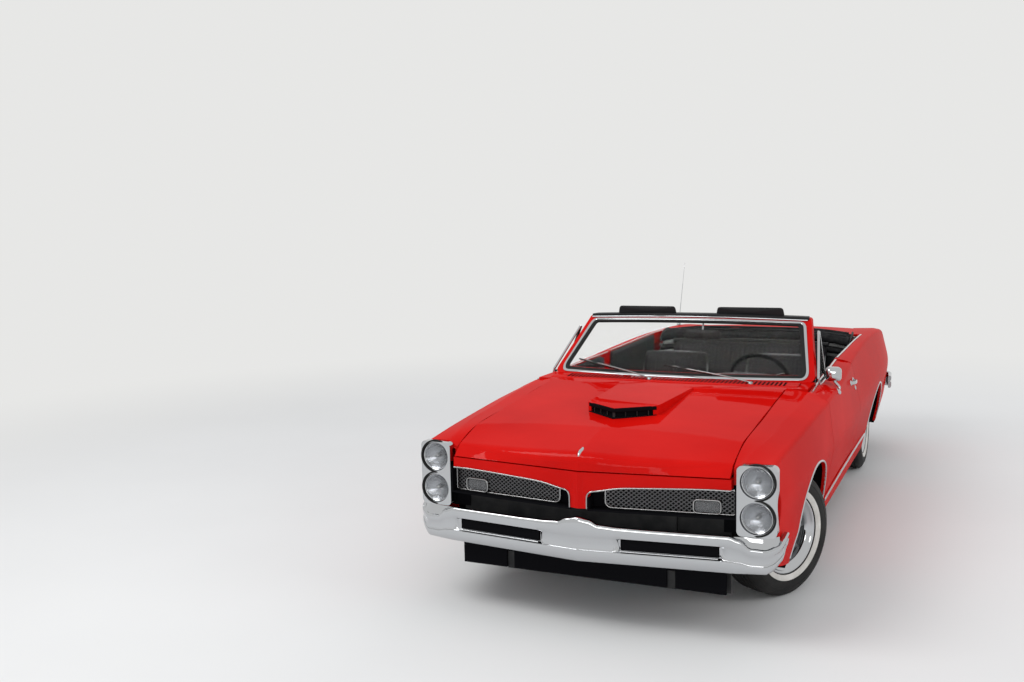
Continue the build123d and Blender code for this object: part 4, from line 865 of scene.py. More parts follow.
def side_hit(y, z, side, *names):
    """Where a level ray from outside meets the outermost of the named panels, and the outward normal."""
    hits = [tree_of(name).ray_cast(spot(side * 1.3, y, z), Vector((-side, 0, 0))) for name in names]
    hits = [hit for hit in hits if hit[0]]
    if hits:
        point, normal = max(hits, key=lambda hit: side * hit[0].x)[:2]
        return point, normal if normal.x * side > 0 else -normal


def side_line(line, side, names, proud=0.0):
    """Points on the body side at each (y, z)."""
    hits = [side_hit(y, z, side, *names) for y, z in line]
    return [hit[0] + hit[1] * proud for hit in hits if hit]


def drop(name, x, y, lift=0.0):
    """Where a plumb line meets a CAD node from above."""
    hit = tree_of(name).ray_cast(spot(x, y, 1.6), -UP)
    return hit[0] + Vector((0, 0, lift)) if hit[0] else None


# Wheel openings: word, panel, axle, half length, half height, setback, height of the middle, inner end
ARCHES = (("front", "fender", 0.0, 0.440, 0.367, 0.020, 0.300, 0.66),
          ("rear", "quarter", WHEELBASE, 0.430, 0.345, 0.025, 0.300, 0.60))


def arch_line(arch, grow, start, turn, steps):
    """(y, z) points round a wheel opening, over some degrees."""
    _, _, axle, half_length, half_height, setback, middle, _ = arch
    turns = [math.radians(start + turn * i / steps) for i in range(steps + 1)]
    return [(axle + setback - (half_length + grow) * math.cos(t), middle + (half_height + grow) * math.sin(t))
            for t in turns]


for side, word in SIDES:
    sill = side_line([(0.53 + 1.91 * i / 38, 0.352) for i in range(39)], side,
                     ("rocker_panels", f"quarter_{word}"), 0.001)
    bar(f"sill_moulding_{word}", sill, rounded_box(0.007, 0.018, 0.003), chrome)
    for arch in ARCHES:
        panel = f"{arch[1]}_{word}"
        edge = [p for p in arch_line(arch, 0.006, -14, 208, 40) if p[1] > 0.26]
        bar(f"arch_lip_{arch[0]}_{word}", side_line(edge, side, [panel], -0.002),
            rounded_box(0.012, 0.012, 0.005), chrome, up=Vector((side, 0, 0)))
        # Dark liner, so that the panel's inner side doesn't show
        rows = []
        for y, z in arch_line(arch, 0.010, -6, 192, 32):
            hit = side_hit(y, z + 0.006, side, panel)
            outer = (abs(hit[0].x) if hit else 0.86) - 0.006
            rows.append([spot(side * (outer + (arch[-1] - outer) * k / 3), y, z) for k in range(4)])
        liner = modify(grid(f"arch_liner_{arch[0]}_{word}", rows), "SOLIDIFY", thickness=0.003, offset=0)
        finish_piece(liner, deep_black, smooth=50)

    # Door handle with its feet, and key lock
    door = f"door_{word}"
    base = side_line([(y, 0.866) for y in (1.455, 1.470, 1.500, 1.540, 1.575, 1.592)], side, [door])
    bar(f"door_handle_{word}", smooth_line([p + Vector((side * out, 0, 0)) for p, out in zip(
        base, (0.004, 0.020, 0.027, 0.027, 0.018, 0.004))], 5), rounded_box(0.010, 0.020, 0.0045), chrome,
        body=door, smooth=50)
    foot = ((-0.002, 0.016), (0.003, 0.016), (0.008, 0.012), (0.009, 0.0005))
    lock = ((-0.002, 0.014), (0.004, 0.013), (0.006, 0.010), (0.004, 0.008), (0.003, 0.0005))
    for name, y, z, profile in (("handle_foot_0", 1.455, 0.866, foot), ("handle_foot_1", 1.592, 0.866, foot),
                                ("door_lock", 1.630, 0.812, lock)):
        turned(f"{name}_{word}", profile, aimed(*side_hit(y, z, side, door)), 28, chrome, body=door,
               smooth=50)

    # Splash panel beside the frame rail under the nose
    box(f"splash_panel_{word}", (side * 0.432, side * 0.436), (-0.700, 0.450), (0.296, 0.470), 0.001,
        deep_black)


# Interior: seats, dashboard, steering wheel, pedals, console
GROOVE = 0.005
CHANNEL_END = 0.86


def pad_surface(name, width, length, thickness, place, pleats=0, crown=0.0, back=0.6, zone=0.76,
                count=(72, 40), taper=0.0):
    """A stuffed pad: local x across, y along, z the soft face, with sewn channels along y in its middle."""
    nu, nv = count
    vertices = []
    for face in (1, -1):
        for j in range(nv + 1):
            v = -math.cos(math.pi * j / nv)
            for i in range(nu + 1):
                u = 2 * i / nu - 1
                if not pleats:
                    u = -math.cos(math.pi * i / nu)
                    u = math.copysign(abs(u) ** 0.85, u)
                edge = (1 - abs(u) ** 9) ** 0.5 * (1 - abs(v) ** 9) ** 0.5
                z = thickness / 2 * edge * (1 if face > 0 else -back)
                if face > 0:
                    z += crown * (1 - u * u) * (1 - v * v)
                if face > 0 and pleats:
                    if abs(u) < zone and abs(v) < CHANNEL_END:
                        wave = abs(math.sin(math.pi * pleats * (u / zone + 1) / 2))
                        z -= GROOVE * (1 - wave ** 0.5) * min(1, (CHANNEL_END - abs(v)) / 0.06)
                    if abs(v) < 0.88:
                        z -= GROOVE * 1.1 * max(0, 1 - abs(abs(u) - zone - 0.01) / 0.022)
                    if abs(u) < zone + 0.01:
                        z -= GROOVE * 1.1 * max(0, 1 - abs(abs(v) - 0.88) / 0.03)
                wide = width / 2 * (1 - taper * (v + 1) / 2)
                vertices.append(place @ Vector((u * wide * (1 - 0.035 * abs(v) ** 8),
                                                v * length / 2 * (1 - 0.035 * abs(u) ** 8), z)))
    return add_object(name, vertices, two_sheets(nv + 1, nu + 1))


def pad(name, width, length, thickness, place, replaces=None, fill=0.85, **shape):
    """A finished stuffed pad."""
    finish_piece(pad_surface(name, width, length, thickness, place, **shape), vinyl, smooth=60,
                 replaces=replaces, fill=fill)


def welt(name, width, length, place, height=0.018, taper=0.0):
    """A welt cord round the edge of a pad, in the pale grey that is a painted highlight on the seat's rounded
    edge.
    """
    points = []
    for i in range(96):
        t = 2 * math.pi * i / 96
        u = math.copysign(abs(math.cos(t)) ** 0.35, math.cos(t))
        v = math.copysign(abs(math.sin(t)) ** 0.35, math.sin(t))
        wide = width / 2 * (1 - taper * (v + 1) / 2)
        points.append(place @ Vector((u * wide * 0.985, v * length / 2 * 0.985, height)))
    bar(name, points, circle(0.0035, 8), piping_highlight, closed=True, up=(place.to_3x3() @ UP).normalized(),
        smooth=60)


SEAT_X, SEAT_WIDTH, SEAT_LENGTH, BACK_HEIGHT, BACK_TAPER = 0.375, 0.50, 0.53, 0.50, 0.06
REAR_WIDTH, REAR_LENGTH, REAR_HEIGHT = 1.17, 0.44, 0.40
for side, word in SIDES:
    x = side * SEAT_X
    back_place = placed(x, 1.985, 0.715, 76, "X")
    pad(f"seat_cushion_{word}", SEAT_WIDTH, SEAT_LENGTH, 0.135, placed(x, 1.640, 0.468, -4, "X"),
        "front_seats" if side > 0 else None, pleats=13, crown=0.018)
    welt(f"seat_piping_{word}", SEAT_WIDTH, SEAT_LENGTH, placed(x, 1.640, 0.470, -4, "X"))
    pad(f"seat_back_{word}", SEAT_WIDTH, BACK_HEIGHT, 0.125, back_place, pleats=13, crown=0.014,
        taper=BACK_TAPER)
    welt(f"back_piping_{word}", SEAT_WIDTH, BACK_HEIGHT, back_place, taper=BACK_TAPER)
    pad(f"seat_shell_{word}", 0.47, 0.46, 0.050, back_place @ Matrix.Translation((0, -0.01, -0.040)),
        fill=1.0, back=1.0, taper=BACK_TAPER, count=(28, 24))
    box(f"seat_base_{word}", (x - 0.215, x + 0.215), (1.42, 1.88), (0.317, 0.425), 0.012, black_paint,
        slot="black_vinyl")
    for k, dx in enumerate((-0.248, 0.248)):
        box(f"seat_hinge_{k}_{word}", (x + dx - 0.005, x + dx + 0.005), (1.83, 1.965), (0.44, 0.56), 0.004,
            chrome)
    turned(f"seat_latch_{word}", ((0, 0.012), (0.006, 0.011), (0.008, 0.0005)),
           placed(x + side * 0.2540, 1.945, 0.53, OUTWARD[side]), 20, chrome, smooth=50)

rear_channels = {"pleats": 30, "count": (150, 30), "zone": 0.93}
rear_place = placed(0, 2.655, 0.770, 72, "X")
pad("rear_cushion", REAR_WIDTH, REAR_LENGTH, 0.120, placed(0, 2.420, 0.574, -5, "X"), "rear_seat",
    crown=0.012, **rear_channels)
welt("rear_cushion_piping", REAR_WIDTH, REAR_LENGTH, placed(0, 2.420, 0.576, -5, "X"))
pad("rear_back", REAR_WIDTH, REAR_HEIGHT, 0.120, rear_place, crown=0.010, **rear_channels)
welt("rear_back_piping", REAR_WIDTH, REAR_HEIGHT, rear_place, 0.020)
bar("rear_seat_roll", [(x, 2.722, z) for x, z in ((-0.59, 0.955), (-0.4, 0.966), (0, 0.969), (0.4, 0.966),
                                                  (0.59, 0.955))],
    rounded_box(0.062, 0.030, 0.013), vinyl, smooth=60, fill=0.85)
box("rear_seat_base", (-0.58, 0.58), (2.235, 2.6), (0.526, 0.545), 0.004, black_paint, slot="black_vinyl")

# Dashboard: a padded top with a rounded brow, a fascia with four round dials, a glove box and switches
DASH_HALF = 0.736
DASH_TOP = ((0.530, 0.905), (0.640, 0.912), (0.760, 0.925), (0.860, 0.945), (0.930, 0.957), (0.962, 0.953),
            (0.974, 0.938), (0.972, 0.918), (0.955, 0.905), (0.930, 0.898))


def dash_shell():
    """The padded dash top, with a crown over the dials."""
    vertices = []
    for x in (-DASH_HALF + 2 * DASH_HALF * i / 48 for i in range(49)):
        crown = 0.026 * math.exp(-((x - 0.37) / 0.20) ** 4)
        share = abs(x) / DASH_HALF
        for y, z in DASH_TOP:
            lift = crown * min(1, max(0, (y - 0.66) / 0.24))
            vertices.append(spot(x, y - 0.010 * share ** 4, z + lift - 0.012 * share ** 6))
        vertices += [spot(x, 0.93, 0.88), spot(x, 0.53, 0.88)]
    count = len(DASH_TOP) + 2
    return add_object("dash_pad", vertices, ring_faces(49, count) + end_faces(49, count))


finish_piece(dash_shell(), dash_plastic, smooth=50, replaces="dashboard")
bar("dash_fascia", [(-0.735, 0.925, 0.792), (0.735, 0.925, 0.792)],
    ((0.060, -0.115), (0.002, -0.115), (-0.014, -0.10), (-0.022, 0.02), (-0.026, 0.10), (0.060, 0.115)),
    dash_plastic)
for k, (y, z) in enumerate(((0.952, 0.868), (0.940, 0.715))):
    bar(f"dash_strip_{k}", [(-0.730, y, z), (0.730, y, z)], rounded_box(0.010, 0.006, 0.002), chrome)
for k, x in enumerate((0.205, 0.315, 0.425, 0.535)):
    place = placed(x, 0.948, 0.800, 90)
    turned_set(k, place, (
        ("dial_ring", ((-0.010, 0.047), (0.014, 0.047), (0.018, 0.044), (0.016, 0.041), (0.002, 0.040)), 48,
         chrome, 50), ("dial_face", ((0.003, 0.0405), (0.0045, 0.030), (0.0045, 0.0005)), 48, dial_face, 50)))
    marks = []
    for n in range(21):
        t = math.radians(-30 + 240 * n / 20)
        ends = [place @ Vector((0.0052, r * math.cos(t), r * math.sin(t)))
                for r in (0.030 if n % 5 == 0 else 0.0325, 0.036)]
        marks.append(sweep(f"mark_{k}_{n}", ends, rounded_box(0.0012, 0.0008, 0.0003, 1), up=FORWARD))
    marks.append(sweep(f"needle_{k}", [place @ Vector((0.007, 0, 0)), place @ Vector((0.007, -0.022, 0.018))],
                       rounded_box(0.0018, 0.001, 0.0004, 1), up=FORWARD))
    finish_piece(merge(f"dial_marks_{k}", marks), dial_marks, smooth=0)
box("radio_face", (-0.075, 0.105), (0.940, 0.957), (0.765, 0.835), 0.004, worn_chrome)
for k, (x, z) in enumerate(((-0.058, 0.800), (0.088, 0.800), (-0.11, 0.770), (0.14, 0.770))):
    turned(f"dash_knob_{k}", ((-0.004, 0.012), (0.012, 0.012), (0.016, 0.010), (0.017, 0.0005)),
           placed(x, 0.957, z, 90), 24, chrome, smooth=50)
box("glove_box", (-0.56, -0.20), (0.938, 0.9555), (0.745, 0.848), 0.006, dash_plastic)

# Steering column, and the wheel: slim rim, three spokes, padded hub
COLUMN_TILT, COLUMN_END, RIM_RADIUS = math.radians(24), spot(0.37, 1.330, 0.880), 0.182
column_axis = Vector((0, math.cos(COLUMN_TILT), math.sin(COLUMN_TILT)))
column_place = aimed(COLUMN_END, column_axis)
turned("steering_column", ((-0.44, 0.026), (-0.16, 0.026), (-0.15, 0.030), (-0.075, 0.034), (-0.060, 0.032),
                           (-0.0575, 0.020)), column_place, 48, dash_plastic, smooth=50)
stalk = [COLUMN_END - column_axis * 0.10 + Vector(move) for move in ((0, 0, 0), (-0.078, 0, 0.02),
                                                                     (-0.13, 0.012, 0.026))]
bar("column_stalk_0", smooth_line(stalk, 5), circle(0.0045, 8), chrome, smooth=50)
rim_turns = [2 * math.pi * i / 96 for i in range(96)]
bar("steering_rim", [column_place @ Vector((0, RIM_RADIUS * math.cos(t), RIM_RADIUS * math.sin(t)))
                     for t in rim_turns], circle(0.0115, 14), deep_black, closed=True, up=column_axis,
    body="steering_wheel", slot="dash_black", smooth=60, replaces="steering_wheel")
turned("steering_hub", ((-0.053, 0.019), (-0.030, 0.022), (-0.026, 0.038), (-0.004, 0.040), (0.004, 0.036),
                        (0.007, 0.020), (0.0075, 0.0005)), column_place, 48, dash_plastic,
       body="steering_wheel", smooth=50)
turned("steering_badge", ((0.004, 0.026), (0.0078, 0.025), (0.0085, 0.0005)), column_place, 36, worn_chrome,
       body="steering_wheel", smooth=50)
for k, angle in enumerate((162, 18, 270)):
    t = math.radians(angle)
    out = Vector((0, -math.cos(t), math.sin(t)))
    path = [column_place @ (out * r + Vector((a, 0, 0))) for r, a in ((0.036, -0.012), (0.10, -0.008),
                                                                      (0.176, -0.001))]
    bar(f"steering_spoke_{k}", path, rounded_box(0.024, 0.005, 0.002), worn_chrome, up=column_axis,
        body="steering_wheel", smooth=50)

# Pedals, console trim and shifter boot
for k, (x, w, h) in enumerate(((0.22, 0.028, 0.030), (0.34, 0.036, 0.030), (0.46, 0.022, 0.060))):
    box(f"pedal_{k}", (x - w, x + w), (0.660, 0.674), (0.450 - h, 0.450 + h), 0.005, rubber,
        slot="dash_black")
    bar(f"pedal_arm_{k}", smooth_line([(x, 0.660, 0.450), (x, 0.635, 0.56), (x, 0.60, 0.68)], 5),
        rounded_box(0.010, 0.016, 0.003), steel, up=Vector((1, 0, 0)), slot="steel", smooth=50)
CONSOLE_LINE = ((1.02, 0.562), (1.49, 0.549), (1.90, 0.594))
bar("console_plate", [(0, y, z) for y, z in CONSOLE_LINE], rounded_box(0.150, 0.004, 0.0015), dash_plastic)
for k, x in enumerate((-0.0735, 0.0735)):
    bar(f"console_edge_{k}", [(x, y, z + 0.002) for y, z in CONSOLE_LINE], rounded_box(0.006, 0.005, 0.0015),
        chrome)
turned("shifter_boot", ((0, 0.055), (0.010, 0.046), (0.016, 0.048), (0.026, 0.034), (0.034, 0.036),
                        (0.046, 0.018),
                        (0.060, 0.010)), placed(0, 1.150, 0.556, -90, "Y"), 40, rubber, slot="black_vinyl",
       smooth=60)


# Door cards, armrests, cranks, belt mouldings, vent-window frames, outside mirror
CARD_COUNT, CARD_THICKNESS = (60, 30), 0.012
CARD_LINES = (0.12, 0.60, 0.80)


def inner_x(y, z, side, panel):
    """How far out a level ray from the cabin meets a panel's inner wall, or None."""
    hit = tree_of(panel).ray_cast(spot(side * 0.3, y, z), Vector((side, 0, 0)))[0]
    return abs(hit.x) if hit else None


def filled(values):
    """The values, with each missing one taken from the nearest that is known."""
    known = [i for i, value in enumerate(values) if value is not None]
    return [values[min(known, key=lambda k: abs(k - i))] for i in range(len(values))] if known else None


def card_surface(name, side, y0, y1, z0, z1, panel, farthest, folds):
    """A padded trim panel that lies on the inner wall of a body panel, with upright sewn channels."""
    nu, nv = CARD_COUNT
    walls = []
    for j in range(9):
        row = [inner_x(y0 + (y1 - y0) * i / 6, z0 + (z1 - z0) * j / 8, side, panel) for i in range(7)]
        walls.append(filled([x if x is None else min(farthest, x) for x in row]))
    walls = filled(walls)
    tops = []
    for i in range(7):
        hit = drop(panel, side * (walls[8][i] + 0.012), y0 + (y1 - y0) * i / 6, -0.003)
        tops.append(hit.z if hit and hit.z > z1 - 0.033 else z1)

    def place_at(u, v):
        """The wall's distance out and the height, the upper edge just under the panel's top."""
        i, j = min(5, int(u * 6)), min(7, int(v * 8))
        s, t = u * 6 - i, v * 8 - j
        low, high = (row[i] + (row[i + 1] - row[i]) * s for row in walls[j:j + 2])
        top = tops[i] + (tops[i + 1] - tops[i]) * s
        return low + (high - low) * t - 0.0015, z0 + (top - z0) * v

    vertices = []
    for layer in (0, 1):
        for v in (j / nv for j in range(nv + 1)):
            for u in (i / nu for i in range(nu + 1)):
                x, z = place_at(u, v)
                depth = 0.0
                if layer:
                    edge = min(1.0, min(u, 1 - u) * (y1 - y0) / 0.012, min(v, 1 - v) * (z1 - z0) / 0.012)
                    depth = CARD_THICKNESS * math.sin(edge * math.pi / 2)
                    depth -= sum(0.004 * max(0, 1 - abs(v - line) / 0.012) for line in CARD_LINES)
                if layer and 0.12 < v < 0.60:
                    wave = abs(math.sin(math.pi * folds * u))
                    depth -= 0.0045 * (1 - wave ** 0.5) * min(1, (v - 0.12) / 0.04, (0.60 - v) / 0.04)
                vertices.append(spot(side * (x - depth), y0 + (y1 - y0) * u, z))
    wide, size = nu + 1, (nu + 1) * (nv + 1)
    border = [*range(wide), *range(2 * wide - 1, size, wide), *range(size - 2, size - wide - 1, -1),
              *range(size - 2 * wide, 0, -wide)]
    faces = [(a, b, size + b, size + a) for a, b in zip(border, border[1:] + border[:1])]
    return finish_piece(add_object(name, vertices, two_sheets(nv + 1, wide) + faces), vinyl,
                        "root" if "quarter" in panel else panel, smooth=50, fill=0.8)


for side, word in SIDES:
    door, quarter = f"door_{word}", f"quarter_{word}"
    on_door = {"body": door}
    card_surface(f"door_card_{word}", side, 0.540, 1.712, 0.372, 0.958, door, 0.84, 28)
    card_surface(f"rear_trim_{word}", side, 1.723, 2.760, 0.420, 0.974, quarter, 0.773, 25)

    def on_card(y, z, out, level=None):
        """A point off the card's face at a place, measured out at its own height or at a level one."""
        return spot(side * (inner_x(y, z if level is None else level, side, door) - 0.0135 - out), y, z)

    for name, z, height in (("card_trim_low", 0.460, 0.008), ("card_trim_high", 0.703, 0.008),
                            ("card_trim_top", 0.804, 0.005)):
        bar(f"{name}_{word}", [on_card(y, z, 0.0015) for y in (0.600, 0.85, 1.1, 1.4, 1.680)],
            rounded_box(0.004, height, 0.0015), chrome, **on_door)
    rest = [on_card(y, z, out, 0.62) for y, z, out in ((0.98, 0.640, 0.012), (1.05, 0.652, 0.026),
                                                       (1.20, 0.656, 0.030),
                                                       (1.35, 0.656, 0.030), (1.42, 0.650, 0.014))]
    bar(f"armrest_{word}", smooth_line(rest, 6), rounded_box(0.052, 0.046, 0.018), vinyl, smooth=60, fill=0.8,
        **on_door)
    bar(f"armrest_base_{word}", [on_card(y, 0.628, 0.016, 0.62) for y in (1.0, 1.2, 1.40)],
        rounded_box(0.036, 0.010, 0.003), chrome, **on_door)
    for k, (y, z, length) in enumerate(((0.86, 0.560, 0.095), (0.90, 0.745, 0.080))):
        wall = side * (inner_x(y, z, side, door) - 0.0135)
        turned(f"crank_hub_{k}_{word}", ((0.0, 0.017), (0.010, 0.016), (0.016, 0.012), (0.017, 0.0005)),
               placed(wall, y, z, OUTWARD[-side]), 24, chrome, smooth=50, **on_door)
        bar(f"crank_arm_{k}_{word}", [(wall - side * 0.014, y, z),
                                      (wall - side * 0.020, y + length * 0.6, z - 0.02),
                                      (wall - side * 0.024, y + length, z - 0.032)],
            rounded_box(0.007, 0.012, 0.003), chrome, smooth=50, **on_door)
        turned(f"crank_knob_{k}_{word}", ((0.0, 0.004), (0.004, 0.008), (0.016, 0.010), (0.022, 0.008),
                                          (0.024, 0.0005)),
               placed(wall - side * 0.024, y + length, z - 0.032, OUTWARD[-side]), 20, dash_plastic,
               slot="chrome", smooth=50, **on_door)

    # Bright mouldings along the top inner edge of the door, and of the quarter panel beside the well
    for name, panel, body, ys, x0, x1 in (
            ("belt_moulding", door, door, (0.535, 0.65, 0.80, 1.0, 1.2, 1.4, 1.6, 1.70), 0.818, 0.782),
            ("well_moulding", quarter, "root", (1.760, 1.9, 2.1, 2.3, 2.5, 2.7, 2.9, 3.05), 0.782, 0.782)):
        line = [drop(panel, side * (x0 + (x1 - x0) * (y - 0.510) / 1.210), y, 0.002) for y in ys]
        bar(f"{name}_{word}", [p for p in line if p], rounded_box(0.013, 0.008, 0.003), chrome, body=body)

# Vent-window frames, standing on the doors and leaning in with the windshield posts
VENT_BASE, VENT_LEAN = spot(0.818, 0.790, 0.940), Vector((-60, 0, 270)).normalized()
VENT_EDGE = ((0.000, 0.012), (0.000, 0.040), (0.330, 0.285), (0.345, 0.285), (0.235, 0.060), (0.235, 0.012))
vent_normal = Vector((0, 1, 0)).cross(VENT_LEAN)
for side, word in SIDES:
    for name, edge, section, material in (
            ("vent_frame", VENT_EDGE, rounded_box(0.011, 0.014, 0.004), chrome),
            ("vent_seal", [(a * 0.93 + 0.010, b * 0.90 + 0.012) for a, b in VENT_EDGE],
             rounded_box(0.006, 0.012, 0.002), rubber)):
        points = [on_side(VENT_BASE + Vector((0, a, 0)) + VENT_LEAN * b + vent_normal * 0.005, side)
                  for a, b in edge]
        bar(f"{name}_{word}", points, section, material, closed=True, up=Vector((side, 0, 0.22)),
            body=f"door_{word}")

# Driver's outside mirror: a rounded head on a curved foot
FLAT_TO_UPRIGHT = Matrix(((1, 0, 0), (0, 0, 1), (0, 1, 0))).to_4x4()
outline = round_corners([(-0.044, -0.042), (0.045, -0.042), (0.047, 0.038), (-0.042, 0.041)], 0.024, 6)
layers = ((-0.030, 0.05), (-0.029, 0.45), (-0.025, 0.72), (-0.015, 0.92), (0.000, 1.0), (0.022, 1.0),
          (0.0245, 0.97), (0.0225, 0.93), (0.0215, 0.05))
head = stack("mirror_head", outline, layers, placed(0.880, 0.900, 1.000, 12) @ FLAT_TO_UPRIGHT,
             faces=[tuple(range(len(outline)))])
finish_piece(head, chrome, "door_left", smooth=50, replaces="door_mirror")
foot = side_hit(0.880, 0.905, 1, "door_left")[0]
bar("mirror_neck", smooth_line([foot + Vector((-0.006, 0, 0)), foot + Vector((0.004, -0.002, 0.022)),
                                (0.892, 0.889, 0.955), (0.882, 0.896, 0.985)], 6), circle(0.0085, 14, 0.8),
    chrome, up=Vector((0, 1, 0)), body="door_left", smooth=60)
turned("mirror_base", ((-0.003, 0.021), (0.003, 0.020), (0.009, 0.012), (0.010, 0.0005)),
       aimed(foot, Vector((0.8, 0, 0.6)), "Y"), 24, chrome, body="door_left", smooth=50)


# Folded top: stacked cloth folds, pale slabs that are a painted reflection of the sky on the top's vinyl, bows
# and side arms, in the well behind the rear seat
FOLD_SAG, FOLD_DROOP, FOLD_STEPS, FOLD_ROUND = 0.008, 0.03, 56, 18
# Folds from the bottom up: name, y and z of their ends, half width, seed of the waves, material
FOLDS = (("fold_base", 2.820, 3.050, 0.722, 0.800, 0.715, 0.3, cloth),
         ("fold_low", 2.812, 3.060, 0.795, 0.862, 0.722, 1.1, cloth),
         ("painted_reflection_low", 2.835, 3.056, 0.858, 0.890, 0.716, 2.2, painted_reflection_cloth),
         ("fold_mid", 2.806, 3.062, 0.886, 0.930, 0.726, 3.0, cloth),
         ("painted_reflection_top", 2.850, 3.050, 0.926, 0.974, 0.712, 4.4, painted_reflection_cloth),
         ("fold_top", 2.808, 2.960, 0.958, 1.030, 0.722, 5.2, cloth),
         ("fold_crown", 2.930, 3.064, 0.965, 1.040, 0.716, 6.1, cloth))


def cloth_fold(name, y0, y1, z0, z1, half_width, seed):
    """One closed fold of cloth: a rounded flat loop across the car with soft waves."""
    vertices = []
    for u in (2 * i / FOLD_STEPS - 1 for i in range(FOLD_STEPS + 1)):
        for j in range(FOLD_ROUND):
            t = 2 * math.pi * j / FOLD_ROUND
            c, s = math.cos(t), math.sin(t)
            y = (y0 + y1) / 2 + (y1 - y0) / 2 * math.copysign(abs(c) ** 0.7, c)
            z = (z0 + z1) / 2 + (z1 - z0) / 2 * math.copysign(abs(s) ** 0.6, s)
            wave = math.sin(5.1 * u + seed) * 0.5 + math.sin(11.3 * u + 2.3 * seed + 2 * y) * 0.3
            z += FOLD_SAG * wave * (0.4 + 0.6 * (s > 0)) - FOLD_DROOP * abs(u) ** 6
            y += FOLD_SAG * 1.2 * math.sin(7.7 * u + 1.7 * seed) * (1 if c < 0 else 0.5)
            vertices.append(spot(u * half_width, y, z))
    rings = FOLD_STEPS + 1
    return add_object(name, vertices, ring_faces(rings, FOLD_ROUND) + end_faces(rings, FOLD_ROUND))


for name, *shape, stuff in FOLDS:
    finish_piece(cloth_fold(f"top_{name}", *shape), stuff, smooth=60, fill=0.4,
                 replaces="folded_top" if name == "fold_base" else None)
for k, (y, z) in enumerate(((2.868, 1.036), (2.990, 1.044))):
    bow = [(-0.70, y, z - 0.030), (-0.45, y, z - 0.004), (0, y - 0.006, z + 0.002), (0.45, y, z - 0.004),
           (0.70, y, z - 0.030)]
    bar(f"top_bow_{k}", smooth_line(bow, 8), rounded_box(0.042, 0.012, 0.005), cloth, smooth=50, fill=0.4)
ARMS = ((((0.728, 2.802, 0.940), (0.731, 2.880, 0.985), (0.729, 2.985, 1.012), (0.722, 3.064, 1.000)), 0.030),
        (((0.733, 2.800, 0.860), (0.734, 2.900, 0.905), (0.733, 3.000, 0.950), (0.728, 3.066, 0.955)), 0.024),
        (((0.724, 2.806, 0.780), (0.728, 2.900, 0.850), (0.726, 3.020, 0.900)), 0.022))
for side, word in SIDES:
    for k, (path, width) in enumerate(ARMS):
        bar(f"top_arm_{k}_{word}", smooth_line([(side * x, y, z) for x, y, z in path], 6),
            rounded_box(0.012, width, 0.004), worn_chrome if k == 1 else black_paint, slot="chrome",
            smooth=50)
    for k, (y, z) in enumerate(((2.825, 0.905), (2.960, 0.985), (3.045, 0.975))):
        turned(f"top_pin_{k}_{word}", ((-0.006, 0.010), (0.006, 0.010), (0.0075, 0.0005)),
               placed(side * 0.7345, y, z, OUTWARD[side]), 20, chrome, smooth=50)
bar("well_bead_0", [(-0.63, 3.078, 1.0045), (0.63, 3.078, 1.0045)], rounded_box(0.012, 0.007, 0.003), chrome)


# Rear: lamps with bright frames, blank plate, trunk trim, tail pipes, antenna
LAMP_LOW, LAMP_HIGH, PANEL_BEND = 0.380, 0.770, 0.64
for side, word in SIDES:
    ring = round_corners(rect(LAMP_LOW + 0.004, LAMP_HIGH - 0.004, 0.644, 0.786), 0.012)
    bar(f"tail_ring_{word}", [(side * x, 4.2225 - max(0, x - PANEL_BEND) * 0.147, z) for x, z in ring],
        rounded_box(0.010, 0.012, 0.004), chrome, closed=True, up=Vector((0, 1, 0)))
    for step in range(3):
        face = []
        for k in range(27):
            x = LAMP_LOW + 0.014 + (LAMP_HIGH - LAMP_LOW - 0.028) * k / 26
            face.append((side * x, 4.2135 + 0.0012 * (k % 2) - max(0, x - PANEL_BEND) * 0.10,
                         0.673 + step * 0.042))
        bar(f"tail_lens_{step}_{word}", face, rounded_box(0.014, 0.028, 0.005), red_lens, smooth=20)
    for step, z in enumerate((0.694, 0.736)):
        bar(f"tail_bar_{step}_{word}", [(side * (LAMP_LOW + 0.008), 4.219, z), (side * PANEL_BEND, 4.219, z),
                                        (side * (LAMP_HIGH - 0.010), 4.201, z)],
            rounded_box(0.008, 0.007, 0.002), chrome)
    box(f"tail_corner_{word}", (side * 0.643, side * 0.792), (4.140, 4.166), (0.830, 0.864), 0.002, paint)
    box(f"reverse_lamp_{word}", (side * 0.36, side * 0.28), (4.222, 4.232), (0.600, 0.640), 0.006, white_lens)
    turned(f"tail_tip_{word}", ((-0.150, 0.0252), (-0.004, 0.0252), (0.0015, 0.0245), (0.0015, 0.0215),
                                (-0.030, 0.0205), (-0.030, 0.0005)), placed(side * 0.300, 4.290, 0.300, 90),
           40, chrome, smooth=40)

box("plate_blank", (-0.152, 0.152), (4.2225, 4.2255), (0.640, 0.790), 0.001, plate_blank)
bar("plate_frame", [(x, 4.2265, z) for x, z in round_corners(rect(-0.156, 0.156, 0.636, 0.794), 0.012, 4)],
    rounded_box(0.008, 0.006, 0.002), chrome, closed=True, up=Vector((0, 1, 0)))
for k, x in enumerate((-0.09, 0.09)):
    turned(f"plate_bolt_{k}", ((0, 0.006), (0.003, 0.0055), (0.0045, 0.0005)), placed(x, 4.2250, 0.775, 90),
           16, worn_chrome)
bar("tail_trim_low", [(-0.640, 4.2235, 0.556), (0.640, 4.2235, 0.556)], rounded_box(0.014, 0.008, 0.003),
    chrome)
bar("trunk_trim", [(x, 4.1665, 0.860) for x in (-0.628, 0, 0.628)], rounded_box(0.010, 0.014, 0.004), chrome,
    body="trunk_lid")
turned("trunk_lock", ((-0.006, 0.015), (0.004, 0.014), (0.007, 0.011), (0.005, 0.008), (0.004, 0.0005)),
       placed(0, 4.222, 0.815, 90), 28, chrome, smooth=50)

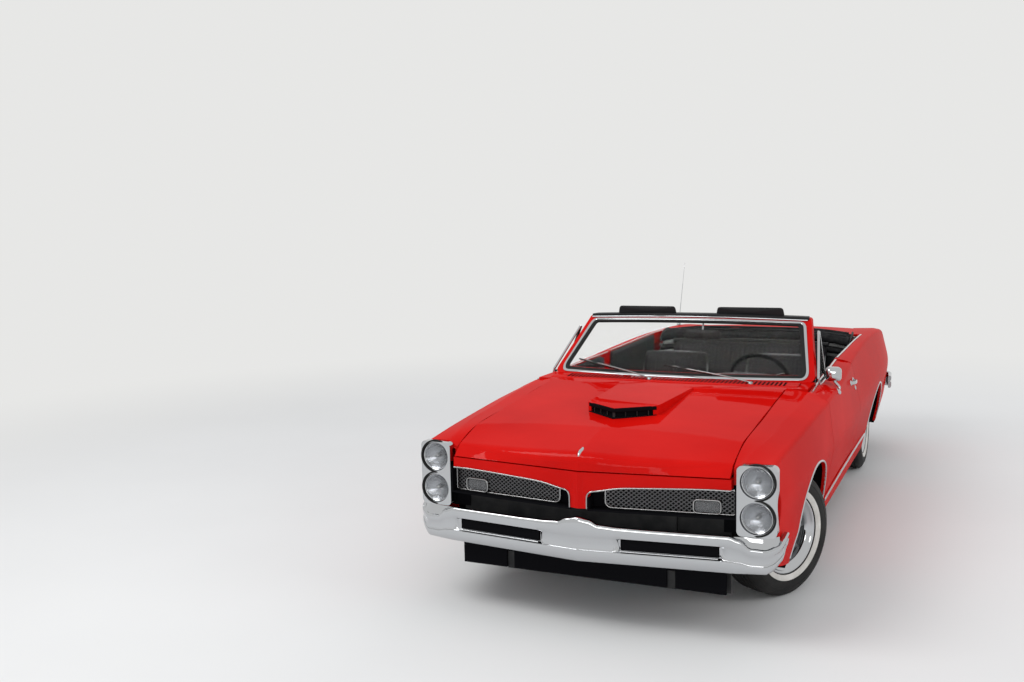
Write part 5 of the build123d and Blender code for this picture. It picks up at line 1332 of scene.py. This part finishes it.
# Antenna: base, ferrule and a thin three-stage mast
foot, tip = spot(-0.800, 3.598, 1.010), spot(-0.800, 3.788, 1.521)
mast_place = aimed(foot, (tip - foot).normalized(), "Y")
turned("antenna_base", ((-0.020, 0.017), (-0.012, 0.017), (-0.004, 0.014), (0.004, 0.009), (0.012, 0.006)),
       mast_place, 24, chrome, smooth=50, replaces="antenna")
turned("antenna_mast", ((0.0, 0.0036), (0.18, 0.0034), (0.181, 0.0026), (0.36, 0.0024), (0.361, 0.0017),
                        (0.538, 0.0015), (0.539, 0.0028), (0.5435, 0.0026), (0.545, 0.0005)), mast_place, 12,
       chrome, smooth=50)


# Hood: black scoop insert, bright nose piece, cowl vent, engine dressing under it
def scoop_front(x):
    """Place along the car of the scoop's pointed lip."""
    return -0.395 + 0.140 * min(1.0, abs(x) / 0.178)


on_hood = {"body": "hood"}
SCOOP_XS = (-0.1775, -0.12, -0.06, 0, 0.06, 0.12, 0.1775)
for name, z, lean, section in (("scoop_lip_top", 0.959, -0.001, rounded_box(0.014, 0.020, 0.004)),
                               ("scoop_lip_low", 0.9215, -0.003, rounded_box(0.018, 0.008, 0.003))):
    bar(name, [(x, scoop_front(x) + lean, z) for x in SCOOP_XS], section, deep_black, **on_hood)
for side, word in SIDES:
    bar(f"scoop_post_{word}", [(side * 0.1735, scoop_front(0.178) - 0.001, z) for z in (0.918, 0.967)],
        rounded_box(0.012, 0.014, 0.004), deep_black, up=Vector((0, 1, 0)), **on_hood)
mouth = [[spot(x, scoop_front(x) + 0.007, 0.920), spot(x, scoop_front(x) + 0.009, 0.960)]
         for x in (-0.168, -0.084, 0.0, 0.084, 0.168)]
finish_piece(grid("scoop_mouth", mouth), deep_black, smooth=0, **on_hood)
for k in range(7):
    x = (k - 3) * 0.048
    bar(f"scoop_rib_{k}", [(x, scoop_front(x) + 0.002, z) for z in (0.924, 0.953)],
        rounded_box(0.012 if k == 3 else 0.004, 0.008, 0.0015), black_paint, up=Vector((0, 1, 0)), **on_hood)

# Bright nose piece on the hood's point: a plain slim oval bar
rows = []
for t in (k / 12 for k in range(13)):
    half = 0.0085 * math.sqrt(max(0.0, 1 - (2 * t - 1) ** 2)) + 0.0004
    row = []
    for u, rise in ((-1.0, 0.0), (-0.7, 0.0035), (0.0, 0.0055), (0.7, 0.0035), (1.0, 0.0)):
        foot = drop("hood", max(0.0006, abs(u) * half), -0.891 + 0.070 * t,
                    0.0006 + rise * min(1.0, half / 0.005))
        row.append((u * half, foot.y, foot.z))
    rows.append(row)
finish_piece(grid("nose_piece", rows), chrome, smooth=60, **on_hood)

# Cowl vent: a raised strip ahead of the windshield, with a row of long slots laid on it as deep black strips,
# painted shade for the openings
VENT_ROWS = ((0.540, -0.002), (0.546, 0.0015), (0.600, 0.0045), (0.664, 0.0090), (0.672, 0.0060),
             (0.673, -0.002))
SLOT_SECTION = ((-0.0050, -0.0004), (0.0050, -0.0004), (0.0050, 0.0006), (-0.0050, 0.0006))


def on_vent_strip(x, y, lift=0.0):
    """A point on the raised strip over the cowl."""
    for (y0, rise0), (y1, rise1) in zip(VENT_ROWS, VENT_ROWS[1:]):
        if y0 <= y <= y1:
            rise = rise0 + (rise1 - rise0) * (y - y0) / (y1 - y0)
    return drop("cowl", x, y, rise + lift)


strip = grid("cowl_vent", [[on_vent_strip(-0.735 + 1.47 * i / 42, y) for y, _ in VENT_ROWS]
                           for i in range(43)])
finish_piece(strip, paint, smooth=40)
# The slots are thin deep black bars on the strip, not openings: painted shade.
slots = [sweep(f"slot_{k}", [on_vent_strip(k * 0.0235, y, lift) for y, lift in ((0.572, 0.0006),
                                                                                (0.620, 0.0008),
                                                                                 (0.660, 0.0008))],
               SLOT_SECTION)
         for k in range(-27, 29)]
finish_piece(merge("cowl_slots", slots), deep_black, smooth=0)

# Engine dressing: air cleaner, rocker covers, pulleys, fan and hose on the plain block
on_engine = {"slot": "engine_metal"}
turned("air_cleaner", ((0.001, 0.06), (0.012, 0.12), (0.016, 0.172), (0.024, 0.176), (0.052, 0.176),
                       (0.058, 0.170), (0.064, 0.150), (0.066, 0.02), (0.0705, 0.010), (0.072, 0.0005)),
       placed(0, -0.060, 0.780, -90, "Y"), 72, chrome, smooth=40, **on_engine)
for side, word in SIDES:
    box(f"rocker_cover_{word}", (side * 0.245, side * 0.135), (-0.38, 0.22), (0.775, 0.803), 0.010, chrome, 3,
        **on_engine)
for k, (x, z, r) in enumerate(((0.0, 0.44, 0.085), (0.0, 0.62, 0.070), (-0.17, 0.66, 0.050),
                               (0.17, 0.64, 0.045))):
    turned(f"pulley_{k}", ((0, r * 0.3), (0.004, r), (0.010, r), (0.014, r - 0.008), (0.018, r), (0.024, r),
                           (0.026, r * 0.4), (0.034, 0.0005)), placed(x, -0.420, z, -90), 40, steel,
           **on_engine)
blades = []
for k in range(5):
    turn = placed(0, -0.462, 0.62, 72 * k, "Y")
    blades.append(sweep(f"blade_{k}", [turn @ Vector(p)
                                       for p in ((0, 0, 0.02), (0.004, 0, 0.11), (0, 0, 0.185))],
                        ((-0.034, -0.012), (0.034, 0.010), (0.034, 0.013), (-0.034, -0.009)),
                        up=Vector((0, 1, 0))))
finish_piece(merge("engine_fan", blades), steel, **on_engine)
hose = smooth_line([(0.10, -0.40, 0.735), (0.14, -0.50, 0.72), (0.20, -0.60, 0.665), (0.24, -0.665, 0.640)],
                   8)
bar("radiator_hose", hose, circle(0.020, 14), rubber, smooth=60, **on_engine)


# Bumpers: rounded bright bars swept along the nose and the tail, with slots in the front one that hold deep
# black strips, a painted shade and painted reflection of the dark ground
SLOT_START, SLOT_END = 0.182, 0.672
# Plan lines (x, y), and heights by reach along them: (reach, z)
FRONT_LINE = ((0, -0.933), (0.700, -0.853), (0.850, -0.819), (0.908, -0.768), (0.921, -0.692))
FRONT_TOPS = ((0, 0.553), (0.057, 0.543), (0.100, 0.523), (0.200, 0.517), (0.332, 0.515), (0.690, 0.514),
              (0.735, 0.498), (0.790, 0.462), (0.850, 0.458), (0.910, 0.470), (0.960, 0.494), (1.020, 0.516))
FRONT_BOTTOMS = ((0, 0.345), (0.855, 0.346), (0.880, 0.354), (0.940, 0.395), (0.990, 0.450), (1.030, 0.497))
REAR_LINE = ((0, 4.311), (0.680, 4.299), (0.870, 4.274), (0.910, 4.213), (0.924, 4.022))
REAR_TOPS = ((0, 0.560), (0.9, 0.560), (1.10, 0.552), (1.30, 0.540))
REAR_BOTTOMS = ((0, 0.430), (0.9, 0.432), (1.10, 0.446), (1.30, 0.470))
REAR_PROFILE = ((-0.026, 0.95), (-0.018, 1.0), (-0.010, 1.0), (-0.003, 0.97), (0.0, 0.90), (-0.001, 0.72),
                (-0.004, 0.64), (-0.009, 0.60), (-0.009, 0.54), (-0.003, 0.50), (0.0, 0.42), (-0.001, 0.15),
                (-0.005, 0.04), (-0.012, 0.0), (-0.026, 0.02))


def table_value(table, x):
    """Value of a table of (x, value) pairs at one x, eased between its rows."""
    for (x0, v0), (x1, v1) in zip(table, table[1:]):
        if x <= x1:
            t = max(0.0, (x - x0) / (x1 - x0))
            return v0 + (v1 - v0) * t * t * (3 - 2 * t)
    return table[-1][1]


def stations_of(corners):
    """Evenly spaced (reach, x, y) stations along a plan line with eased corners."""
    points = [Vector(c) for c in corners]
    dense = []
    for a, b in zip(points, points[1:]):
        count = max(1, round((b - a).length / 0.012))
        dense += [a.lerp(b, k / count) for k in range(count)]
    dense.append(points[-1])
    for _ in range(3):
        eased = [(a + b * 2 + c) / 4 for a, b, c in zip(dense, dense[1:], dense[2:])]
        dense = [dense[0], *eased, dense[-1]]
    reach, made = 0.0, []
    for i, p in enumerate(dense):
        reach += (p - dense[i - 1]).length if i else 0.0
        made.append((reach, p.x, p.y))
    return made


def bumper(name, line, tops, bottoms, profile, level, replaces):
    """A bright bar along its stations. Its profile is (depth, share of height) points, and what rises
    above the level stretches only its upper part."""
    stations = [(-x, y, r) for r, x, y in line[::-1]] + [(x, y, r) for r, x, y in line[1:]]
    vertices = []
    for i, (x, y, r) in enumerate(stations):
        before, after = stations[max(0, i - 1)], stations[min(len(stations) - 1, i + 1)]
        along = Vector((after[0] - before[0], after[1] - before[1], 0)).normalized()
        inward = Vector((-along.y, along.x, 0))
        top, bottom = table_value(tops, r), table_value(bottoms, r)
        plain = min(top, level) - bottom
        for depth, share in profile(r):
            lift = max(0.0, (share - 0.7) / 0.3) * (top - bottom - plain)
            vertices.append(spot(x, y, bottom + plain * share + lift) + inward * depth)
    rings, count = len(stations), len(profile(0))
    bumper_bar = add_object(name, vertices, ring_faces(rings, count) + end_faces(rings, count))
    finish_piece(bumper_bar, chrome, smooth=45, replaces=replaces)


def front_profile(r):
    """Section of the front bumper: top roll, band, shallow slot, lower lip, turned-in back."""
    dip = 0.016 * min(1.0, max(0.0, min((r - SLOT_START) / 0.020, (SLOT_END - r) / 0.020)))
    return ((0.026, 0.90), (0.022, 1.0), (0.012, 1.0), (0.005, 0.985), (0.0015, 0.955), (0.0005, 0.90),
            (0.0015, 0.80), (0.003, 0.715), (0.005 + dip * 0.35, 0.685), (0.006 + dip, 0.665),
            (0.007 + dip, 0.36),
            (0.006 + dip * 0.4, 0.335), (0.003, 0.325), (0.002, 0.29), (0.003, 0.16), (0.007, 0.05),
            (0.013, 0.0), (0.020, 0.0), (0.026, 0.05))


front_stations = stations_of(FRONT_LINE)
bumper("bumper_front", front_stations, FRONT_TOPS, FRONT_BOTTOMS, front_profile, 0.515, "front_bumper")
bumper("bumper_rear", stations_of(REAR_LINE), REAR_TOPS, REAR_BOTTOMS, lambda r: REAR_PROFILE, 0.56,
       "rear_bumper")
for side, word in SIDES:
    inset = [(side * x, y + 0.0195) for r, x, y in front_stations if SLOT_START + 0.018 < r < SLOT_END - 0.018]
    # Deep black strip in the slot: painted shade and painted reflection of the dark ground in the chrome.
    bar(f"bumper_slot_shade_{word}", [(x, y, 0.4335) for x, y in inset], rounded_box(0.004, 0.048, 0.0015),
        deep_black)
    bar(f"bumper_lip_{word}", [(x, y - 0.0165, 0.4085) for x, y in inset], rounded_box(0.006, 0.006, 0.0025),
        chrome, smooth=50)
    rows = []
    for r, x, y in (station for station in front_stations if 0.712 < station[0] < 0.930):
        top = table_value(FRONT_TOPS, r)
        rows.append([spot(side * (x - 0.3 * depth), y + depth, top - 0.003 + max(0.0, 0.509 - top) * share)
                     for depth, share in ((0.010, 0.0), (0.020, 0.25), (0.028, 0.6), (0.031, 1.0))])
    saddle = modify(grid(f"bumper_saddle_{word}", rows), "SOLIDIFY", thickness=0.002, offset=-1)
    finish_piece(saddle, chrome, smooth=60)
    # Front brackets in deep black as painted shade under the bumper, rear brackets in black paint, and a
    # baffle beside the grille that keeps daylight out past the lamp bezel
    for name, x0, x1, ys, zs, radius, material in (
            ("bumper_bracket", 0.387, 0.423, (-0.866, -0.772), (0.356, 0.390), 0.003, deep_black),
            ("rear_bracket", 0.392, 0.448, (4.152, 4.290), (0.445, 0.495), 0.003, black_paint),
            ("nose_baffle", 0.640, 0.770, (-0.742, -0.738), (0.500, 0.720), 0.001, deep_black)):
        box(f"{name}_{word}", (side * x0, side * x1), ys, zs, radius, material)

# Dark backing behind the valance, so that its joints let no light through
box("valance_backing", (-0.655, 0.655), (-0.758, -0.755), (0.226, 0.343), 0.001, deep_black)

# Rounded edges on two CAD nodes
for name, width in (("lamp_bezels", 0.005), ("door_mirror", 0.004)):
    bevel = nodes[name].modifiers.new("Bevel", "BEVEL")
    bevel.width, bevel.segments, bevel.limit_method = width, 3, "ANGLE"
    bevel.angle_limit = math.radians(40)

low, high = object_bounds()
